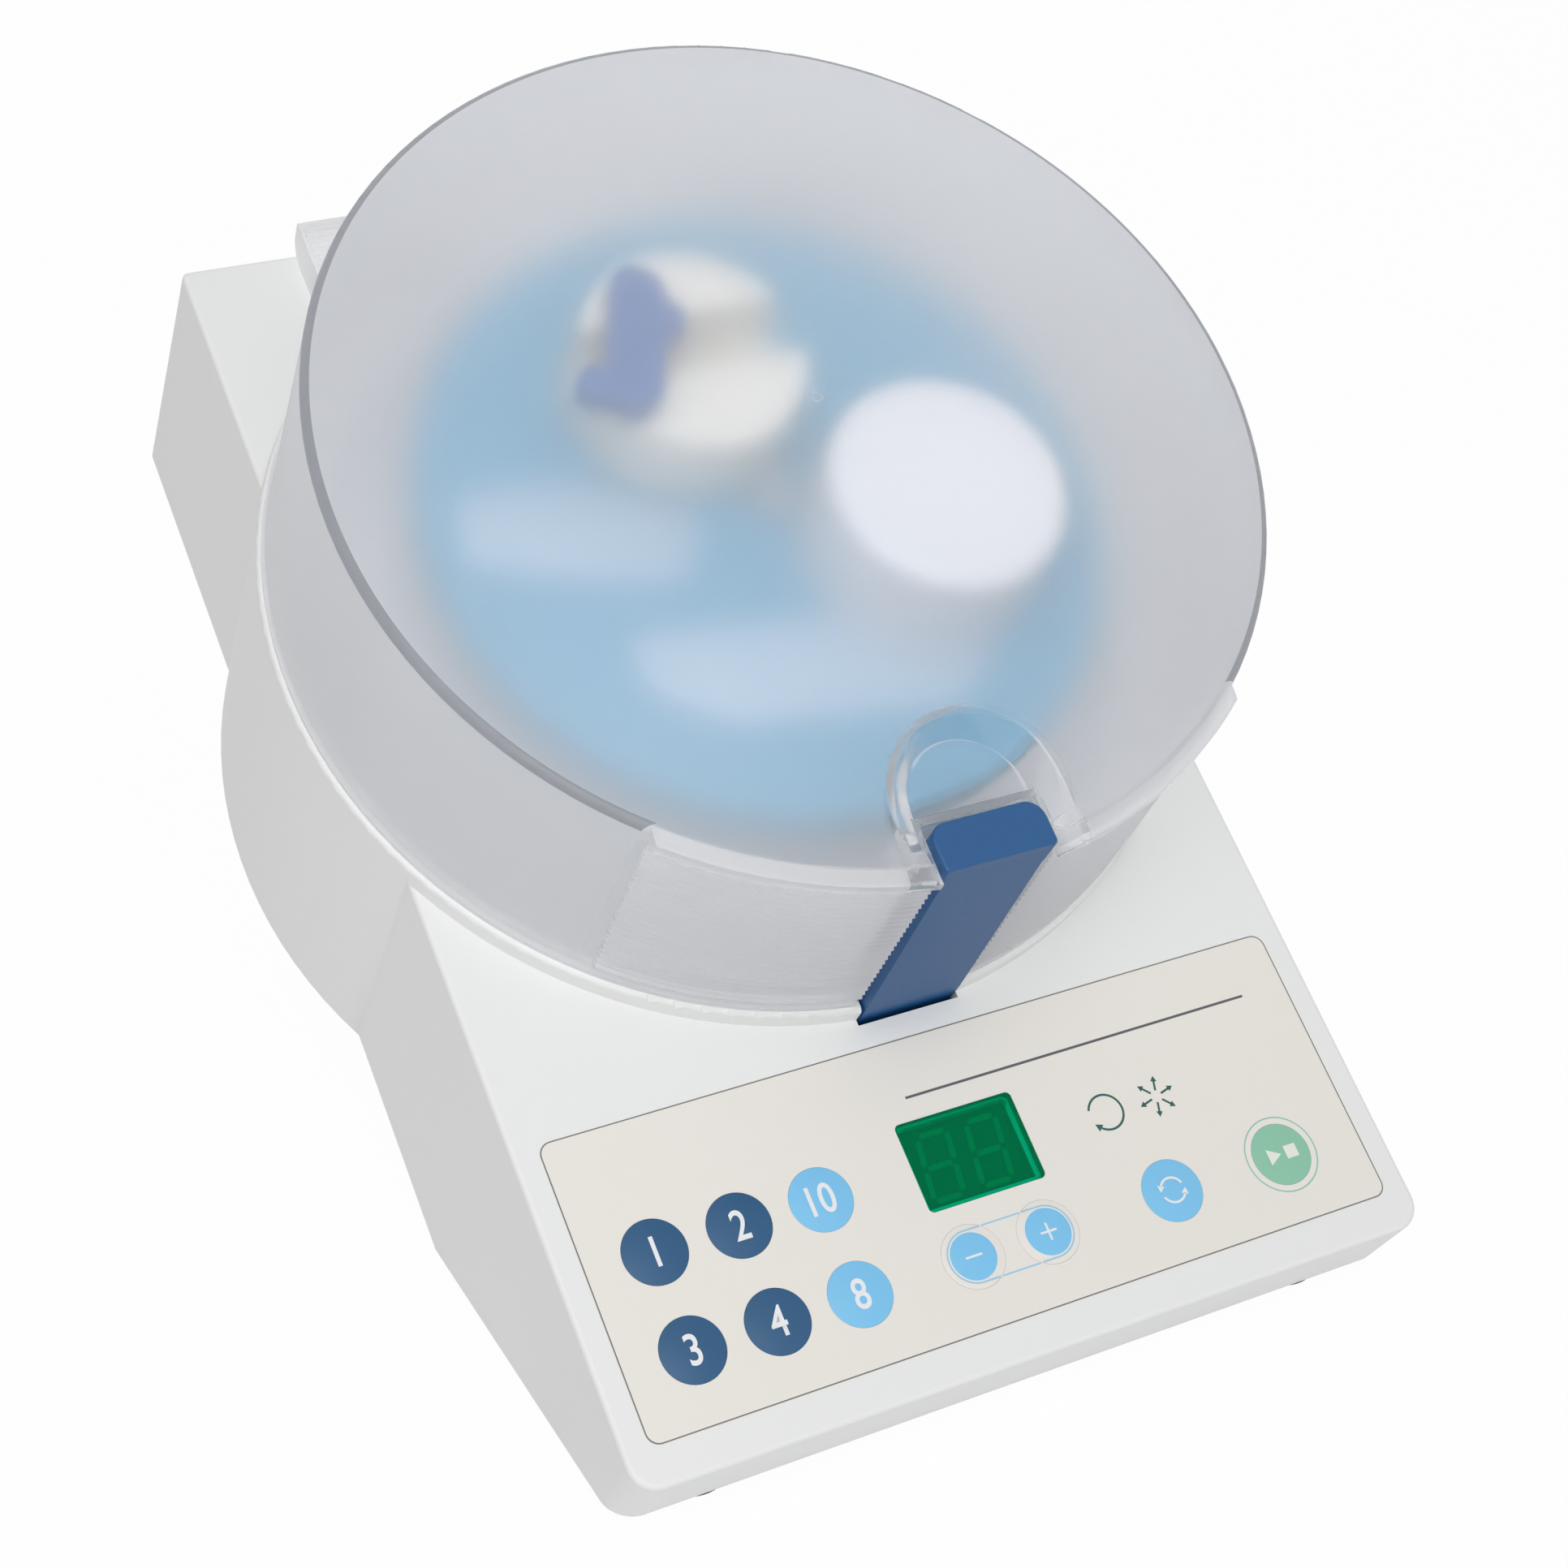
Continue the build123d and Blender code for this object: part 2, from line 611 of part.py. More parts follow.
with BuildPart() as lid:
    # wall, rim and crowned top
    with BuildSketch(radial_plane(0)):
        with BuildLine():
            Polyline((dome_under - 1.4, lid_foot), (bead_radius, lid_foot), (bead_radius, lid_foot + 1.2),
                     (lid_radius_foot, lid_foot + 1.8), (lid_radius_rim, lid_rim_w - rim_rounding))
            TangentArc((lid_radius_rim, lid_rim_w - rim_rounding), (dome_start, lid_rim_w), tangent=(0, 1))
            ThreePointArc((dome_start, lid_rim_w),
                          (dome_start / 2, lid_rim_w + cap_middle(dome_start, lid_dome_rise)),
                          (0, lid_rim_w + lid_dome_rise))
            Line((0, lid_rim_w + lid_dome_rise), (0, lid_rim_w + lid_dome_rise - lid_wall))
            ThreePointArc((0, lid_rim_w + lid_dome_rise - lid_wall),
                          (dome_inner / 2, lid_rim_w - lid_wall + cap_middle(dome_inner, lid_dome_rise)),
                          (dome_inner, lid_rim_w - lid_wall))
            Polyline((dome_inner, lid_rim_w - lid_wall), (dome_under, lid_rim_w - lid_wall - 1.2),
                     (dome_under - 1.4, lid_foot))
        make_face()
    revolve(axis=drum_axis)
    add(lid_grip.part)
    # shells of the latch groove and of the thumb recess
    with BuildSketch(deck.offset(lid_foot)):
        with BuildLine():
            Polyline(*web_points(), close=True)
        make_face()
        Circle(lid_radius_rim - 0.3, mode=Mode.INTERSECT)
    extrude(amount=recess_floor_w - lid_wall + 0.5 - lid_foot)
    with BuildSketch(recess_plane(0, drop=lid_wall)):
        recess_outline(recess_half(0) + lid_wall, 9)
    with BuildSketch(recess_plane(recess_shell_share)):
        recess_outline(recess_half(recess_shell_share) + lid_wall - 0.3, 5)
    loft()
    # solid hinge flap behind the wall
    with BuildSketch(side_plane_at(-hinge_half)):
        with BuildLine():
            Polyline((hinge_v, hinge_w - 4.8), (hinge_v - 30, hinge_w - 4.8), (hinge_v - 30, bar_top),
                     (rear_lid_v, bar_top), (rear_lid_v, hinge_w + 0.6))
            ThreePointArc((rear_lid_v, hinge_w + 0.6), (hinge_v + 3.6, hinge_w - 3.4), (hinge_v, hinge_w - 4.8))
        make_face()
    extrude(amount=2 * hinge_half)
    # hollow under the flap, and everything inside the wall
    with BuildSketch(deck.offset(hinge_w - 10)):
        with Locations((0, 60)):
            Rectangle(2 * hinge_half - 4, 2 * (hinge_v - 5.2 - 60))
        Circle(lid_radius_foot - 0.5, mode=Mode.SUBTRACT)
    extrude(amount=bar_top - 2 - hinge_w + 10, mode=Mode.SUBTRACT)
    with BuildSketch(deck.offset(hinge_w - 10)):
        Circle(dome_under - 1.4)
    extrude(amount=20, mode=Mode.SUBTRACT)
    # fine ribs along the top of the hinge bar
    with BuildSketch(side_plane_at(-hinge_half + 0.6)):
        with Locations(*[(rear_lid_v - 0.9 - 1.35 * i, bar_top) for i in range(7)]):
            Circle(0.4)
    extrude(amount=2 * hinge_half - 1.2)
    # slots for the ears and bores for the pins
    for spot in ear_spots:
        with BuildSketch(side_plane_at(spot - ear_width / 2 - 0.4)):
            with Locations((hinge_v, hinge_w + 3.0 - 6)):
                Rectangle(14, 12)
        extrude(amount=ear_width + 0.8, mode=Mode.SUBTRACT)
        with BuildSketch(side_plane_at(spot - 9)):
            with Locations((hinge_v, hinge_w)):
                Circle(pin_radius + running)
        extrude(amount=18, mode=Mode.SUBTRACT)
    # cut the groove and the recess
    with BuildSketch(deck_plane_at(0, channel_v - 10, lid_foot - 5)):
        Rectangle(2 * channel_half, 20)
    extrude(amount=recess_mouth_w - lid_foot + 5, mode=Mode.SUBTRACT)
    with BuildSketch(recess_plane(0)):
        recess_outline(recess_half(0), 22)
    with BuildSketch(recess_plane(recess_cut_share)):
        recess_outline(recess_half(recess_cut_share), 16)
    loft(mode=Mode.SUBTRACT)
    fillet([edge for edge in edges(Select.LAST) if on_mouth(edge)], radius=recess_round)
    # catch ledge on the back wall of the groove
    with BuildSketch(side_plane_at(-6)):
        with BuildLine():
            Polyline((channel_v + 0.5, 113), (channel_v - 1.2, 113), (channel_v - 1.2, 111.8),
                     (channel_v + 0.5, 109), close=True)
        make_face()
    extrude(amount=12)
save(lid, "lid")

with BuildPart() as hinge_pins:
    for spot in ear_spots:
        with BuildSketch(side_plane_at(spot - 8.5)):
            with Locations((hinge_v, hinge_w)):
                Circle(pin_radius)
        extrude(amount=17)
save(hinge_pins, "hinge_pins")

with BuildPart() as lid_seal:
    with BuildSketch(deck.offset(seal_floor)):
        Circle(seal_outer)
        Circle(seal_inner, mode=Mode.SUBTRACT)
    extrude(amount=1.5)
    with BuildSketch(deck_plane_at(0, 80, seal_floor - 1)):
        Rectangle(2 * hinge_bay, 44)
        with Locations((0, -170)):
            Rectangle(2 * latch_slot, 20)
    extrude(amount=10, mode=Mode.SUBTRACT)
save(lid_seal, "lid_seal")

magnet_spot = (50, 82)
save(post(*magnet_spot, bar_top - 4.2, bar_top - 2, 2.5), "lid_magnet")
with BuildPart() as lid_sensor:
    with BuildSketch(side_plane_at(magnet_spot[0] - 7)):
        with Locations((magnet_spot[1] + 2, deck_top - wall - 1.6)):
            Circle(1.6)
    extrude(amount=14)
save(lid_sensor, "lid_sensor")

# ---------------------------------------------------------------- latch
latch_face_top = -91.1
latch_face_foot = -93.2
latch_rear = -86.2
block_half = 11.25
block_rear = -82.0
block_low = 122.6
hook_tip = -82.6
hook_low = 113.5

with BuildPart() as latch_lever:
    foot_width = latch_pivot_v - latch_face_foot
    with BuildSketch(side_plane_at(-latch_half)):
        with BuildLine():
            Polyline(
                (latch_face_foot, latch_pivot_w),
                (latch_face_foot, 76),
                (latch_face_top, lid_rim_w - 3),
                (block_rear - 1, lid_rim_w - 3),
                (block_rear - 1, block_low),
                (latch_rear, block_low - 4),
                (hook_tip, hook_low + 1.3),
                (hook_tip, hook_low),
                (latch_rear, hook_low),
                (latch_rear, 80),
                (latch_pivot_v + foot_width, 74),
                (latch_pivot_v + foot_width, latch_pivot_w),
            )
            ThreePointArc(
                (latch_pivot_v + foot_width, latch_pivot_w),
                (latch_pivot_v, latch_pivot_w - foot_width),
                (latch_face_foot, latch_pivot_w),
            )
        make_face()
    extrude(amount=2 * latch_half)
    # hook only in the middle
    for edge in (-1, 1):
        with BuildSketch(side_plane_at(edge * 6 if edge > 0 else -latch_half - 1)):
            with Locations(((latch_rear + hook_tip) / 2, hook_low + 1.5)):
                Rectangle(hook_tip - latch_rear, 7)
        extrude(amount=latch_half - 5, mode=Mode.SUBTRACT)
    # thumb block with rounded rear corners
    with BuildSketch(deck_plane_at(0, (latch_face_top + block_rear) / 2, block_low)):
        Rectangle(2 * block_half, block_rear - latch_face_top)
        fillet(vertices().group_by(Axis.Y)[-1], radius=3.6)
        fillet(vertices().group_by(Axis.Y)[0], radius=0.9)
    extrude(amount=lid_rim_w - block_low)
    top_face = latch_lever.faces().sort_by(drum_axis)[-1]
    fillet(top_face.edges(), radius=0.6)
    # bore for the pin, wider in the middle for the spring
    with BuildSketch(side_plane_at(-latch_half - 1)):
        with Locations((latch_pivot_v, latch_pivot_w)):
            Circle(pin_radius + running)
    extrude(amount=2 * latch_half + 2, mode=Mode.SUBTRACT)
    with BuildSketch(side_plane_at(-4.5)):
        with Locations((latch_pivot_v, latch_pivot_w)):
            Circle(3.4)
    extrude(amount=9, mode=Mode.SUBTRACT)
save(latch_lever, "latch_lever")

with BuildPart() as latch_pin:
    with BuildSketch(side_plane_at(-latch_slot - latch_ear_width)):
        with Locations((latch_pivot_v, latch_pivot_w)):
            Circle(pin_radius)
    extrude(amount=2 * (latch_slot + latch_ear_width))
save(latch_pin, "latch_pin")

spring_radius = 2.5
spring_wire = 0.4
spring_start = deck_point(-3.6, latch_pivot_v, latch_pivot_w)
with BuildPart() as latch_spring:
    with BuildLine() as coil:
        Helix(pitch=1.2, height=7.2, radius=spring_radius, center=spring_start, direction=(1, 0, 0))
    with BuildSketch(Plane(origin=coil.line @ 0, z_dir=coil.line % 0)):
        Circle(spring_wire)
    sweep(path=coil.line, is_frenet=True)
save(latch_spring, "latch_spring")

# ---------------------------------------------------------------- mixing chamber and motor
bearing_outer = 11.0
bowl_floor = 57.0
boss_top = 92.0
plate_radius = 77.0
plate_top = 59.5
save(turned([
    (bearing_outer + running, bowl_floor), (plate_radius, bowl_floor), (plate_radius, plate_top), (22, plate_top),
    (17, 64), (15, boss_top), (bearing_outer + running, boss_top),
]), "bearing_plate")

with BuildPart() as chamber_bowl:
    with BuildSketch(radial_plane(0)):
        with BuildLine():
            Polyline((70, bowl_floor - 2), (79, bowl_floor - 2), (83, 62), (83, deck_top), (86.2, deck_top),
                     (86.2, 72.3), (85.4, 72.3), (85.4, ring_top), (83.8, ring_top), (83.8, 72.3),
                     (81.2, 71.4), (81.2, 63.4), (plate_radius + running, plate_top),
                     (plate_radius + running, bowl_floor), (70, bowl_floor), close=True)
        make_face()
    revolve(axis=drum_axis)
    # notch in the rim for the latch
    with BuildSketch(deck_plane_at(0, latch_slot_rear - 5, deck_top - 1)):
        Rectangle(2 * latch_slot + 1, 10)
    extrude(amount=10, mode=Mode.SUBTRACT)
save(chamber_bowl, "chamber_bowl")

with BuildPart() as shaft_bearings:
    for low in (62, 84):
        with BuildSketch(deck.offset(low)):
            Circle(bearing_outer)
            Circle(shaft_radius + 0.03, mode=Mode.SUBTRACT)
        extrude(amount=7)
save(shaft_bearings, "shaft_bearings")

shaft_low = 6.0
shaft_shoulder = 99.0
shaft_tip = 107.0
tip_radius = 2.5
save(turned([(0, shaft_low), (shaft_radius, shaft_low), (shaft_radius, shaft_shoulder),
             (tip_radius, shaft_shoulder), (tip_radius, shaft_tip), (0, shaft_tip)]), "drive_shaft")

case_low = 9.0
case_high = 51.0
case_radius = 38.0
save(turned([
    (shaft_radius + 0.5, case_low), (case_radius - 3, case_low), (case_radius, case_low + 3),
    (case_radius, case_high), (case_radius - 2, case_high), (case_radius - 2, case_low + 3.5),
    (case_radius - 3.5, case_low + 2), (shaft_radius + 0.5, case_low + 2),
]), "motor_case")
save(ring(case_radius - 2.1, 25.0, 16, 45), "stator")
save(ring(24.4, shaft_radius, 18, 43), "armature")

mount_spots = [(u, v) for u in (-30, 30) for v in (-30, 30)]
flange_high = case_high + 2.5
with BuildPart() as motor_flange:
    with BuildSketch(deck.offset(case_high)):
        RectangleRounded(80, 80, 10)
        Circle(12, mode=Mode.SUBTRACT)
        with Locations(*mount_spots):
            Circle(1.8, mode=Mode.SUBTRACT)
    extrude(amount=flange_high - case_high)
save(motor_flange, "motor_flange")

with BuildPart() as motor_mounts:
    with BuildSketch(deck.offset(flange_high)):
        with Locations(*mount_spots):
            Circle(5)
            Circle(1.7, mode=Mode.SUBTRACT)
    extrude(amount=bowl_floor - flange_high)
save(motor_mounts, "motor_mounts")

with BuildPart() as motor_screws:
    with BuildSketch(deck.offset(case_high - 2.4)):
        with Locations(*mount_spots):
            RegularPolygon(3.2, 6)
    extrude(amount=2.4)
    with BuildSketch(deck.offset(case_high)):
        with Locations(*mount_spots):
            Circle(1.5)
    extrude(amount=bowl_floor - case_high)
save(motor_screws, "motor_screws")

# ---------------------------------------------------------------- rotor
hub_low = 97.5
disc_low = 101.0
skirt_low = 96.0


def orbit_point(radius, degrees):
    return (radius * math.cos(math.radians(degrees)), radius * math.sin(math.radians(degrees)))


planet_spot = orbit_point(planet_radius, planet_angle)
weight_spot = orbit_point(weight_orbit, weight_angle)
bush_radius = 5.0
with BuildPart() as rotor_disc:
    with BuildSketch(radial_plane(0)):
        with BuildLine():
            Polyline((shaft_radius, hub_low), (10, hub_low), (10, disc_low), (rotor_radius - 1.5, disc_low),
                     (rotor_radius - 1.5, skirt_low), (rotor_radius, skirt_low),
                     (rotor_radius, rotor_top - 1.2), (rotor_radius - 1.2, rotor_top),
                     (tip_radius, rotor_top), (tip_radius, shaft_shoulder),
                     (shaft_radius, shaft_shoulder), close=True)
        make_face()
    revolve(axis=drum_axis)
    with BuildSketch(deck.offset(hub_low + 0.5)):
        with Locations(planet_spot):
            Circle(8.5)
        with Locations(weight_spot):
            Circle(4)
    extrude(amount=disc_low - hub_low)
    with BuildSketch(deck.offset(hub_low - 1)):
        with Locations(planet_spot):
            Circle(bush_radius)
    extrude(amount=10, mode=Mode.SUBTRACT)
save(rotor_disc, "rotor_disc")

with BuildPart() as rotor_nut:
    with BuildSketch(deck.offset(rotor_top)):
        RegularPolygon(4.7, 6)
        Circle(tip_radius, mode=Mode.SUBTRACT)
    extrude(amount=shaft_tip - rotor_top - 0.4)
save(rotor_nut, "rotor_nut")

cap_radius = 23.5
cap_top = 127.5
weight_top = 118.0
with BuildPart() as counterweight_cap:
    with BuildSketch(deck_plane_at(*weight_spot, rotor_top)):
        Circle(cap_radius)
    extrude(amount=cap_top - rotor_top)
    fillet(counterweight_cap.faces().sort_by(drum_axis)[-1].edges(), radius=4)
    with BuildSketch(deck_plane_at(*weight_spot, rotor_top)):
        Circle(cap_radius - 2)
    extrude(amount=cap_top - rotor_top - 4.5, mode=Mode.SUBTRACT)
save(counterweight_cap, "counterweight_cap")
save(post(*weight_spot, rotor_top, weight_top, cap_radius - 2.1), "balance_weight")

wheel_low = 93.0
wheel_high = 96.8
save(ring(sun_radius - running, shaft_radius + 1, boss_top, wheel_high), "sun_wheel")
save(post(*planet_spot, hub_low + 0.5, rotor_top + 0.8, bush_radius, 3.03), "planet_bush")
save(post(*planet_spot, wheel_low - 0.6, 112, 3.0), "planet_shaft")
save(post(*planet_spot, wheel_low, wheel_high, planet_wheel_radius - 1.2, 3.0), "planet_wheel")
save(post(*planet_spot, wheel_low + 0.4, wheel_high - 0.4, planet_wheel_radius - running,
          planet_wheel_radius - 1.2), "planet_tyre")

# planet capsule holder with an open slot across it
holder_low = 106.0
holder_high = 122.0
holder_radius = 22.0
slot_width = 12.5
slot_floor = 110.0
lever_pivot = (planet_spot[0] - 16.5, planet_spot[1] - 8.5)
lever_reach = 21.0
lever_width = 11.0
lever_turn = 68.0
lever_foot = (-7.2, 1.8)        # from the pivot to the finger tab
lever_foot_half = 3.5
lever_lobe = (10.6, 13.0)
lever_lobe_radius = 4.5
lever_round = 1.0
with BuildPart() as capsule_holder:
    with BuildSketch(deck_plane_at(*planet_spot, holder_low)):
        Circle(holder_radius)
    extrude(amount=holder_high - holder_low)
    fillet(capsule_holder.faces().sort_by(drum_axis)[-1].edges(), radius=1.6)
    with BuildSketch(deck_plane_at(planet_spot[0], planet_spot[1] + 1.5, slot_floor)):
        Rectangle(60, slot_width)
    extrude(amount=20, mode=Mode.SUBTRACT)
    with BuildSketch(deck_plane_at(*planet_spot, holder_low - 1)):
        Circle(3.0)
    extrude(amount=slot_floor - holder_low + 3, mode=Mode.SUBTRACT)
    with BuildSketch(deck_plane_at(*lever_pivot, holder_low + 4)):
        Circle(pin_radius)
    extrude(amount=20, mode=Mode.SUBTRACT)
save(capsule_holder, "capsule_holder")

lever_low = holder_high + 0.3
lever_high = 127.6
foot_turn = math.degrees(math.atan2(lever_foot[1], lever_foot[0]))
with BuildPart() as clamp_lever:
    with BuildSketch(deck_plane_at(*lever_pivot, lever_low)):
        with Locations(Location((0, 0, 0), (0, 0, lever_turn))):
            with Locations((lever_reach / 2, 0)):
                SlotCenterToCenter(lever_reach, lever_width)
        with Locations(lever_lobe):
            Circle(lever_lobe_radius)
        with Locations(lever_foot):
            Circle(lever_foot_half)
        with Locations(Location((lever_foot[0] / 2, lever_foot[1] / 2), foot_turn)):
            Rectangle(math.hypot(*lever_foot), 2 * lever_foot_half)
    extrude(amount=lever_high - lever_low)
    fillet(clamp_lever.faces().sort_by(drum_axis)[-1].edges(), radius=lever_round)
    with BuildSketch(deck_plane_at(*lever_pivot, lever_low - 1)):
        Circle(pin_radius + running)
    extrude(amount=lever_high - lever_low - 0.8, mode=Mode.SUBTRACT)
save(clamp_lever, "clamp_lever")
save(post(*lever_pivot, holder_low + 4, lever_high - 2, pin_radius), "clamp_pin")

# ---------------------------------------------------------------- power side
def back_plane(y):
    """Upright plane that faces the rear: local x runs to the left, local y up."""
    return Plane(origin=(0, y, 0), x_dir=(-1, 0, 0), z_dir=(0, 1, 0))


inlet_depth = 20.0
cavity_depth = 18.0
pin_reach = 10.0
with BuildPart() as mains_inlet:
    with BuildSketch(back_plane(pedestal_back - inlet_depth)):
        with Locations((-inlet_x, inlet_z)):
            Rectangle(*inlet_size)
    extrude(amount=inlet_depth)
    with BuildSketch(back_plane(pedestal_back)):
        with Locations((-inlet_x, inlet_z)):
            RectangleRounded(inlet_size[0] + 5, inlet_size[1] + 5, 2)
    extrude(amount=2)
    with BuildSketch(back_plane(pedestal_back + 2 - cavity_depth)):
        with Locations((-inlet_x, inlet_z)):
            Rectangle(inlet_size[0] - 3, inlet_size[1] - 3)
        chamfer(vertices().group_by(Axis.Y)[-1], length=4)
    extrude(amount=cavity_depth, mode=Mode.SUBTRACT)
save(mains_inlet, "mains_inlet")

with BuildPart() as inlet_pins:
    with BuildSketch(back_plane(pedestal_back + 2 - cavity_depth)):
        with Locations((-inlet_x - 7, inlet_z - 2), (-inlet_x + 7, inlet_z - 2), (-inlet_x, inlet_z + 2)):
            Rectangle(2, 4)
    extrude(amount=pin_reach)
save(inlet_pins, "inlet_pins")

with BuildPart() as fuse_holder:
    with BuildSketch(back_plane(pedestal_back - inlet_depth)):
        with Locations((-inlet_x, drawer_z)):
            Rectangle(drawer_size[0] + 3, drawer_size[1] + 3)
            Rectangle(drawer_size[0] + 0.1, drawer_size[1] + 0.1, mode=Mode.SUBTRACT)
    extrude(amount=inlet_depth + 0.6)
save(fuse_holder, "fuse_holder")

with BuildPart() as fuse_drawer:
    with BuildSketch(back_plane(pedestal_back - inlet_depth + 2)):
        with Locations((-inlet_x, drawer_z)):
            Rectangle(*drawer_size)
    extrude(amount=inlet_depth - 1.3)
    with BuildSketch(back_plane(pedestal_back + 0.7)):
        with Locations((-inlet_x, drawer_z)):
            RectangleRounded(drawer_size[0] + 2, drawer_size[1] + 2, 1)
    extrude(amount=1.6)
save(fuse_drawer, "fuse_drawer")

rocker_pivot_y = pedestal_back - 3
rocker_tilt = 7
trunnion_radius = 1.5
trunnion_reach = rocker_size[0] / 2 + 1.1
rocker_side = Plane(origin=(rocker_x, rocker_pivot_y, rocker_z), x_dir=(0, 1, 0), z_dir=(1, 0, 0))
with BuildPart() as switch_frame:
    with BuildSketch(back_plane(pedestal_back - 14)):
        with Locations((-rocker_x, rocker_z)):
            Rectangle(rocker_size[0] + 3, rocker_size[1] + 3)
    extrude(amount=14)
    with BuildSketch(back_plane(pedestal_back)):
        with Locations((-rocker_x, rocker_z)):
            RectangleRounded(rocker_size[0] + 6, rocker_size[1] + 6, 1.5)
    extrude(amount=1.6)
    with BuildSketch(back_plane(pedestal_back - 10)):
        with Locations((-rocker_x, rocker_z)):
            Rectangle(rocker_size[0] + 0.2, rocker_size[1] + 0.2)
    extrude(amount=20, mode=Mode.SUBTRACT)
    with BuildSketch(rocker_side.offset(-rocker_size[0])):
        Circle(trunnion_radius + running)
    extrude(amount=2 * rocker_size[0], mode=Mode.SUBTRACT)
save(switch_frame, "switch_frame")

rocker_half = rocker_size[1] / 2 - 0.9
with BuildPart() as mains_switch:
    with BuildSketch(Plane(origin=(rocker_x - rocker_size[0] / 2 + 0.2, rocker_pivot_y, rocker_z),
                           x_dir=Vector(0, 1, 0).rotate(Axis.X, rocker_tilt), z_dir=(1, 0, 0))):
        with BuildLine():
            Polyline((-3, -4), (2.5, -rocker_half), (6.4, -rocker_half), (4.2, 0),
                     (6.4, rocker_half), (2.5, rocker_half), (-3, 4), close=True)
        make_face()
    extrude(amount=rocker_size[0] - 0.4)
    with BuildSketch(rocker_side.offset(-trunnion_reach)):
        Circle(trunnion_radius)
    extrude(amount=2 * trunnion_reach)
save(mains_switch, "mains_switch")

floor_inside = foot_height + pedestal_wall
with BuildPart() as transformer_core:
    with BuildSketch(Plane.XY.offset(floor_inside)):
        with Locations((0, 42)):
            Rectangle(44, 34)
            with Locations((-11.5, 0), (11.5, 0)):
                Rectangle(9, 20, mode=Mode.SUBTRACT)
    extrude(amount=30)
save(transformer_core, "transformer_core")

with BuildPart() as transformer_coil:
    with BuildSketch(Plane.XY.offset(floor_inside + 2)):
        with Locations((-11.5, 42), (11.5, 42)):
            Rectangle(8.4, 19.4)
    extrude(amount=26)
save(transformer_coil, "transformer_coil")

with BuildPart() as power_board:
    with BuildSketch(Plane.XY.offset(power_board_z)):
        with Locations((0, power_board_y)):
            Rectangle(*power_board_size)
    extrude(amount=board_thick)
save(power_board, "power_board")
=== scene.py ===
import json
import math
import bmesh
import bpy
from mathutils import Matrix, Vector


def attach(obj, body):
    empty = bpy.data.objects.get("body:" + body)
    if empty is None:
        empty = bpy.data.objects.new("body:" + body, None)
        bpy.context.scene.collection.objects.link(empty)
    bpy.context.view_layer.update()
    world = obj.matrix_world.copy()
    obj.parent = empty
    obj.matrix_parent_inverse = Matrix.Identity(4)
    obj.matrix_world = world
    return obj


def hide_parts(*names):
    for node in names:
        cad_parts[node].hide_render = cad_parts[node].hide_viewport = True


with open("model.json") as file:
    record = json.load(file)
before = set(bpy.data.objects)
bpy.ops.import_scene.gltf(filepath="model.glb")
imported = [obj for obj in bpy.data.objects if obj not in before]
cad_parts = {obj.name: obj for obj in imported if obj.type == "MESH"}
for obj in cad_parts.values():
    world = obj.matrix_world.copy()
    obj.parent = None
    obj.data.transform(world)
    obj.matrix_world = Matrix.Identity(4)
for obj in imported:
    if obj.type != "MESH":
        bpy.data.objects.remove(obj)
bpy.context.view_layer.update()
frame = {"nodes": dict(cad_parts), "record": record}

print("stage: frame loaded")

# the console's slab leans, so most pieces are modelled flat in the deck frame:
# u across, v towards the rear along the slab, w square to it, from the drum axis
deckFrame = {
    "slope": math.radians(36.5),
    "axisY": 0.045,
    "frontV": -0.163,
    "lipLow": 0.0525,
    "footHeight": 0.003,
}
kinkV = deckFrame["frontV"] + deckFrame["lipLow"] / math.tan(deckFrame["slope"])
deckOrigin = Vector((0, deckFrame["axisY"],
                     deckFrame["footHeight"] - kinkV * math.sin(deckFrame["slope"])))
deckMatrix = Matrix.Translation(deckOrigin) @ Matrix.Rotation(deckFrame["slope"], 4, "X")


cameraSetup = {
    "place": (-0.21953, -0.46179, 0.34096),
    "turn": (62.3404, 0.7853, -26.9141),
    "lens": 64.18,
}
cameraData = bpy.data.cameras.new("photoCamera")
cameraData.sensor_width = 36
cameraData.lens = cameraSetup["lens"]
cameraData.clip_start = 0.01
cameraData.clip_end = 50
camera = bpy.data.objects.new("photoCamera", cameraData)
camera.location = cameraSetup["place"]
camera.rotation_euler = [math.radians(angle) for angle in cameraSetup["turn"]]
bpy.context.scene.collection.objects.link(camera)
bpy.context.scene.camera = camera
bpy.context.scene.view_settings.view_transform = "Standard"


class Wire:
    # an output socket; arithmetic on it adds Math nodes
    def __init__(self, tree, socket):
        self.tree = tree
        self.socket = socket

    def math(self, operation, first, second=0.0):
        node = self.tree.nodes.new("ShaderNodeMath")
        node.operation = operation
        for index, value in enumerate((first, second)):
            if isinstance(value, Wire):
                self.tree.links.new(value.socket, node.inputs[index])
            else:
                node.inputs[index].default_value = value
        return Wire(self.tree, node.outputs[0])

    def __add__(self, other):
        return self.math("ADD", self, other)

    def __radd__(self, other):
        return self.math("ADD", other, self)

    def __sub__(self, other):
        return self.math("SUBTRACT", self, other)

    def __rsub__(self, other):
        return self.math("SUBTRACT", other, self)

    def __mul__(self, other):
        return self.math("MULTIPLY", self, other)

    def __lt__(self, other):
        return self.math("LESS_THAN", self, other)

    def __gt__(self, other):
        return self.math("GREATER_THAN", self, other)


